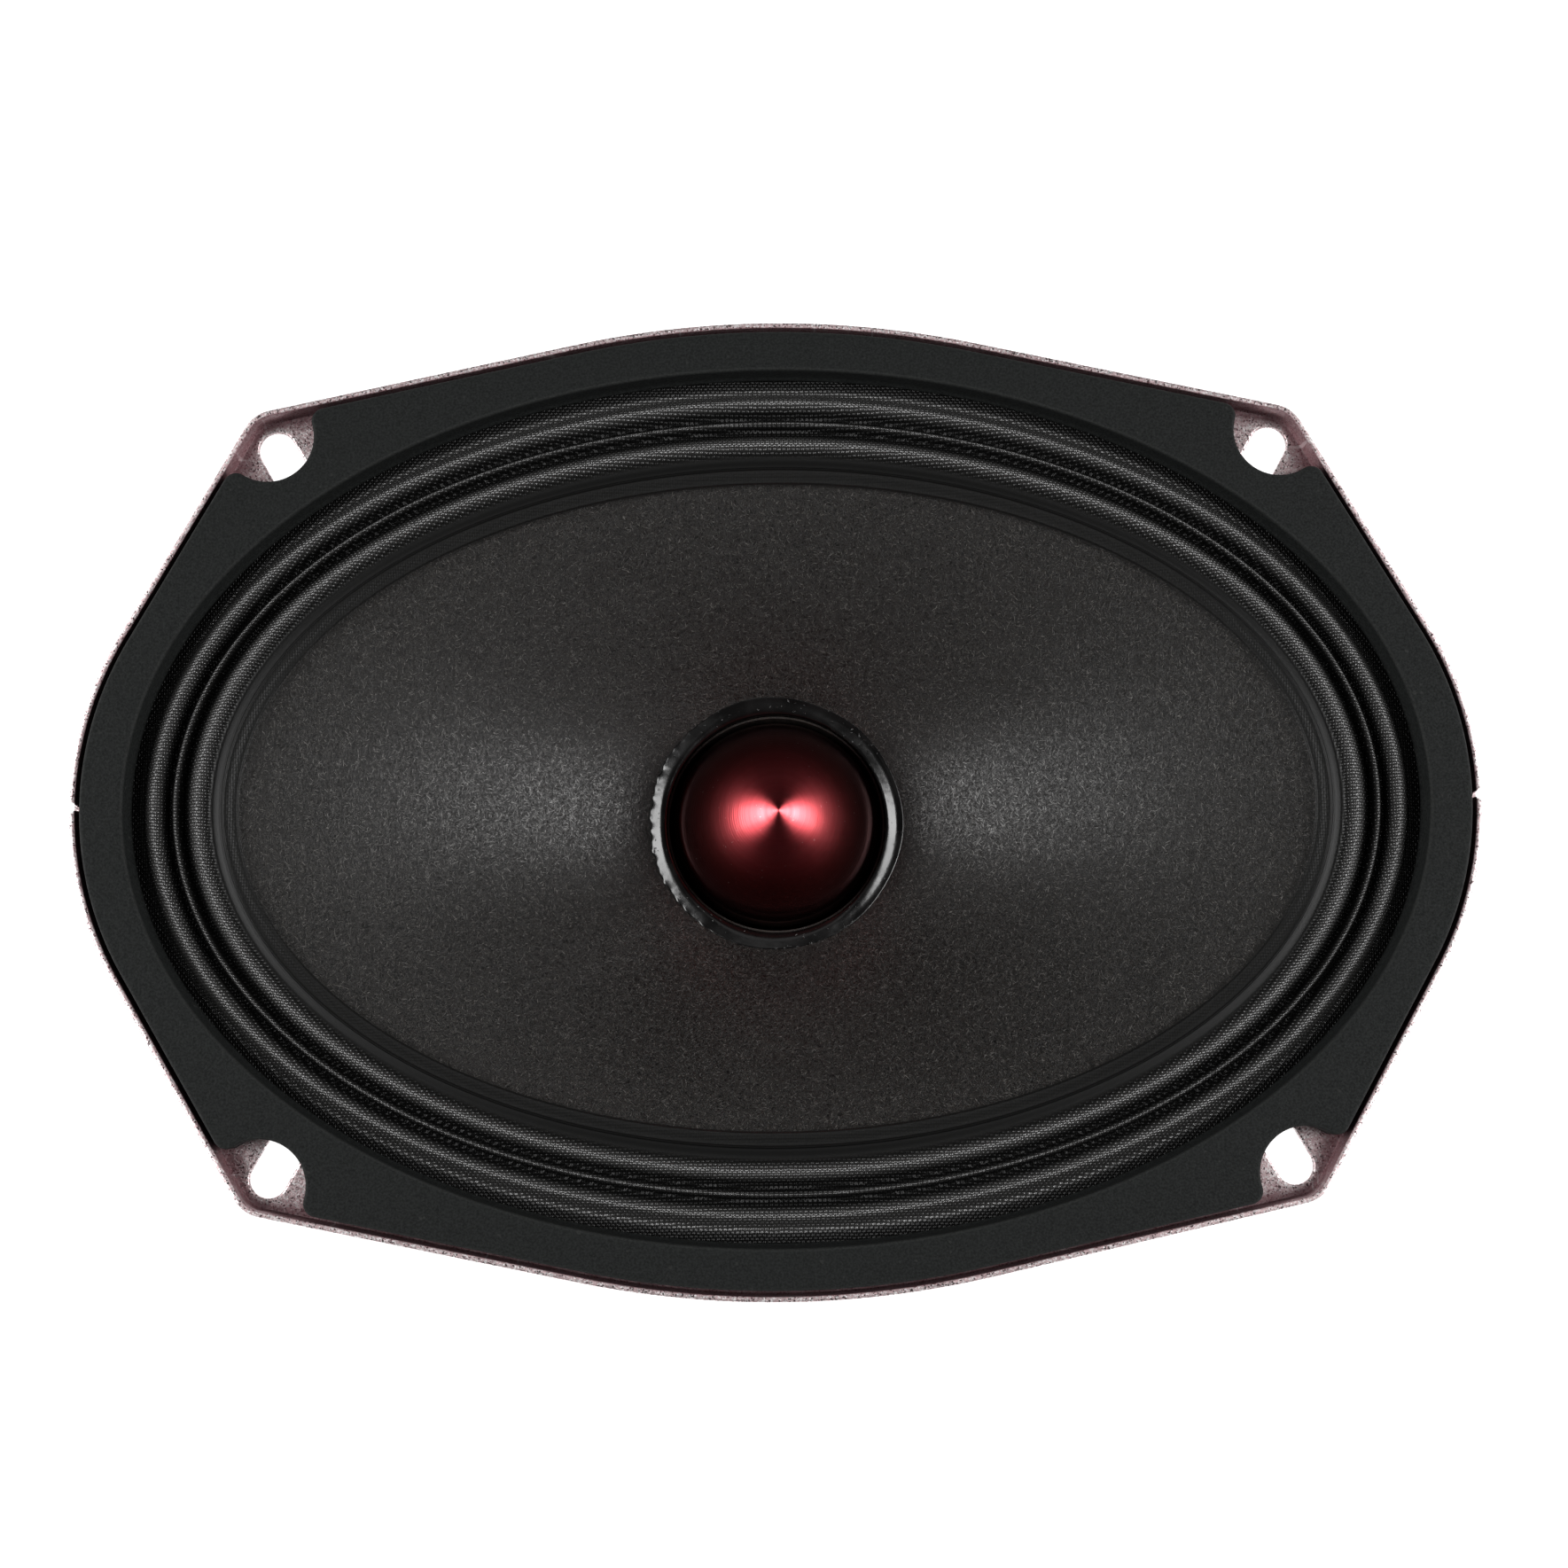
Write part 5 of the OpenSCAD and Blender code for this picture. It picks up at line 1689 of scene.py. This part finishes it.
class BuildMotor(bpy.types.Operator):
    """Top plate, ferrite magnet and yoke, with the screws through the basket's floor"""
    bl_idname = "speaker.motor"
    bl_label = "Motor"

    def execute(self, context):
        steel = plain_metal(
            "Plated Steel", (0.42, 0.41, 0.39), (0.16, 0.15, 0.14), 0.30, rings=True)
        dark = plain_metal("Blackened Screw", (0.10, 0.10, 0.105), (0.03, 0.03, 0.03), 0.30)
        gap_r = COIL_HIGH[0] + 0.4 * MM
        plate_r, top, under = PLATE_HIGH[0], PLATE_HIGH[2], PLATE_LOW[2]
        place("Top_Plate", ring(gap_r, plate_r, under, top, 0.5 * MM).mesh("Top Plate"),
              steel, "frame", "plate_steel", "top_plate")
        magnet_r, magnet_low = MAGNET_HIGH[0], MAGNET_LOW[2]
        place("Magnet", ring(26 * MM, magnet_r, magnet_low, under, 1.1 * MM).mesh("Magnet"),
              magnet_ferrite(), "frame", "ferrite", "magnet")
        back, pole_r = YOKE_LOW[2], BULLET_HIGH[0] + 0.3 * MM
        yoke = rounded([
            (3.3 * MM, top, 0), (pole_r, top, 0.4 * MM), (pole_r, magnet_low, 1 * MM),
            (plate_r, magnet_low, 0.5 * MM), (plate_r, back, 1.2 * MM), (8 * MM, back, 0.8 * MM),
            (8 * MM, magnet_low, 0.4 * MM), (3.3 * MM, magnet_low, 0)], 4)
        place("Yoke", turned(yoke, 160).mesh("Yoke"), steel, "frame", "plate_steel", "yoke")
        bevelled_node("Plate_Screws", "plate_screws", 0.35 * MM, dark, "frame", "steel_screw")
        return {"FINISHED"}


def ring(inner, outer, low, high, fillet):
    """Skin of a flat ring with rounded edges."""
    middle = (low + high) / 2
    corners = [(inner, middle, 0), (inner, low, fillet * 0.6), (outer, low, fillet),
               (outer, high, fillet), (inner, high, fillet * 0.6), (inner, middle + MM, 0)]
    return turned(rounded(corners, 4), 160)


class BuildCoil(bpy.types.Operator):
    """Former with its collar, voice coil, lead-outs and solder joints"""
    bl_idname = "speaker.coil"
    bl_label = "Coil"

    def execute(self, context):
        inner, outer = FORMER_HIGH[0] - 0.4 * MM, FORMER_HIGH[0]
        film = paper_collar("Former Film", (0.010, 0.008, 0.007), (0.03, 0.022, 0.018))
        kraft = paper_collar("Kraft Collar", (0.16, 0.085, 0.035), (0.26, 0.15, 0.07))
        place("Former", ring(inner, outer, FORMER_LOW[2], FORMER_HIGH[2], 0.12 * MM).mesh("Former"),
              film, "moving_cone", "former_film", "former")
        place("Former_Collar", ring(outer, COLLAR_HIGH[0], COLLAR_LOW[2], COLLAR_HIGH[2],
                                    0.15 * MM).mesh("Former Collar"),
              kraft, "moving_cone", "collar_paper", "former_collar")
        outside = wound_profile(COIL_HIGH[0], 0.12 * MM, COIL_LOW[2], COIL_HIGH[2], 36)
        section = np.concatenate([outside, [(outer, COIL_HIGH[2]), (outer, COIL_LOW[2])]])
        place("Voice_Coil", turned(section, 128).mesh("Voice Coil", 70), coil_enamel(),
              "moving_cone", "coil_wire", "voice_coil")
        bevelled_node("Coil_Leadouts", "coil_leadouts", 0.08 * MM, coil_enamel(),
                      "moving_cone", "coil_wire")
        tin = plain_metal("Solder", (0.56, 0.56, 0.55), (0.25, 0.24, 0.22), 0.18, 300.0)
        mesh = solder_skin().mesh("Solder Joints", 80)
        place("Solder_Joints", mesh, tin, "moving_cone", "solder", "solder_joints")
        return {"FINISHED"}


def solder_skin():
    """Two blobs of solder: round balls whose radius swells where two slow waves add up,
    drawn from pole to pole."""
    skin = Skin()
    low, high = edges("solder_joints")
    radius = (high[2] - low[2]) / 2
    middle_y, middle_z = (low[1] + high[1]) / 2, (low[2] + high[2]) / 2
    down = np.linspace(0, np.pi, 26)[1:-1, None]
    angle = np.linspace(0, 2 * np.pi, 36, endpoint=False)
    for side in (1, -1):
        swell = radius * (0.93 + 0.05 * np.sin(2 * down + side) * np.cos(2 * angle + side))
        x = side * (high[0] - radius) + swell * np.sin(down) * np.cos(angle)
        y = middle_y + swell * np.sin(down) * np.sin(angle)
        z = middle_z + swell * np.cos(down) + 0 * angle
        skin.pipe(np.stack([x, y, z], -1))
    return skin


class BuildSpider(bpy.types.Operator):
    """Corrugated spider and its cement"""
    bl_idname = "speaker.spider"
    bl_label = "Spider"

    def execute(self, context):
        _, colours = settings()
        mesh = spider_skin().mesh("Spider", 60)
        piece = place("Spider", mesh, spider_cotton(colours), None, "spider_cloth", "spider")
        points = mesh_points(mesh)
        follow(piece)
        r = COLLAR_HIGH[0]
        bead = rounded([(r, -37.3 * MM, 0), (r + 1.0 * MM, -36.7 * MM, 0.2 * MM),
                        (r + 0.95 * MM, -36.1 * MM, 0.4 * MM), (r, -35.5 * MM, 0)], 4)
        place("Spider_Glue", turned(bead, 128).mesh("Spider Glue", 60), black_glue(),
              "moving_cone", "black_glue", "spider_glue")
        return {"FINISHED"}


class BuildLeads(bpy.types.Operator):
    """Two tinsel leads that run from their lugs to the coil"""
    bl_idname = "speaker.leads"
    bl_label = "Leads"

    def execute(self, context):
        middle = (LEAD_LOW[0] + LEAD_HIGH[0]) / 2
        for name, node, x in (("Positive_Lead", "positive_lead", middle),
                              ("Negative_Lead", "negative_lead", -middle)):
            mesh = lead_skin(x).mesh(name, 80)
            piece = place(name, mesh, tinsel_braid(), None, "tinsel_braid", node)
            below = -mesh_points(mesh)[:, 1]
            follow(piece)
        return {"FINISHED"}


class BuildTerminals(bpy.types.Operator):
    """Terminal block with its cover, rivets and contacts"""
    bl_idname = "speaker.terminals"
    bl_label = "Terminals"

    def execute(self, context):
        plastic = moulded_plastic("Block Plastic", (0.012, 0.012, 0.013), (0.045, 0.045, 0.045))
        brass = plain_metal("Contact Brass", (0.72, 0.50, 0.20), (0.35, 0.20, 0.07), 0.24, 200.0)
        zinc = zinc_plate()
        for name, node, width, material, slot in (
                ("Terminal_Block", "terminal_block", 0.45, plastic, "block_plastic"),
                ("Terminal_Cover", "terminal_cover", 0.3, plastic, "block_plastic"),
                ("Terminal_Rivets", "terminal_rivets", 0.3, zinc, "zinc_screw"),
                ("Positive_Contact", "positive_contact", 0.15, brass, "contact_brass"),
                ("Negative_Contact", "negative_contact", 0.15, brass, "contact_brass")):
            bevelled_node(name, node, width * MM, material, "frame", slot)
        return {"FINISHED"}


class BuildButtons(bpy.types.Operator):
    """Push buttons of the wire clamps and the springs above them"""
    bl_idname = "speaker.buttons"
    bl_label = "Buttons"

    def execute(self, context):
        wire = plain_metal("Spring Steel", (0.58, 0.58, 0.57), (0.25, 0.24, 0.23), 0.20, 300.0)
        red = moulded_plastic("Red Button", (0.48, 0.015, 0.015), (0.60, 0.12, 0.10), 0.30)
        black = moulded_plastic("Black Button", (0.014, 0.014, 0.015), (0.06, 0.06, 0.06), 0.30)
        for side, body, slot, material in (
                ("positive", "red_push", "red_button", red),
                ("negative", "black_push", "black_button", black)):
            title = side.capitalize()
            bevelled_node(f"{title}_Button", f"{side}_button", 0.3 * MM, material, body, slot)
            low, high = edges(f"{side}_spring")
            middle = (low + high) / 2
            mesh = spring_skin(f"{side}_spring", middle[0], middle[1]).mesh(f"{title} Spring", 60)
            piece = place(f"{title}_Spring", mesh, wire, "frame", "spring_steel", f"{side}_spring")
            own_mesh(piece)
        return {"FINISHED"}


class SpeakerPanel(bpy.types.Panel):
    """Sizes, colours and build steps of the speaker"""
    bl_idname = "VIEW3D_PT_speaker"
    bl_label = "Oval Speaker"
    bl_space_type = "VIEW_3D"
    bl_region_type = "UI"
    bl_category = "Speaker"

    def draw(self, context):
        scene = context.scene
        for group_of_values in (scene.speaker_sizes, scene.speaker_colours):
            box = self.layout.box()
            for name in group_of_values.__annotations__:
                box.prop(group_of_values, name)
        for step in STEPS:
            self.layout.operator(step.bl_idname)


STEPS = (BuildStage, BuildBasket, BuildGasket, BuildSurround, BuildCone, BuildBullet,
         BuildMotor, BuildCoil, BuildSpider, BuildLeads, BuildTerminals, BuildButtons)
CLASSES = (SpeakerSizes, SpeakerColours, *STEPS, SpeakerPanel)


def register():
    """Adds the classes and the scene's settings."""
    for each in CLASSES:
        bpy.utils.register_class(each)
    bpy.types.Scene.speaker_sizes = bpy.props.PointerProperty(type=SpeakerSizes)
    bpy.types.Scene.speaker_colours = bpy.props.PointerProperty(type=SpeakerColours)


def unregister():
    """Takes the classes and the scene's settings away."""
    del bpy.types.Scene.speaker_colours
    del bpy.types.Scene.speaker_sizes
    for each in reversed(CLASSES):
        bpy.utils.unregister_class(each)


def main():
    register()
    for step in STEPS:
        group_name, operator_name = step.bl_idname.split(".")
        getattr(getattr(bpy.ops, group_name), operator_name)()


if __name__ == "__main__":
    main()
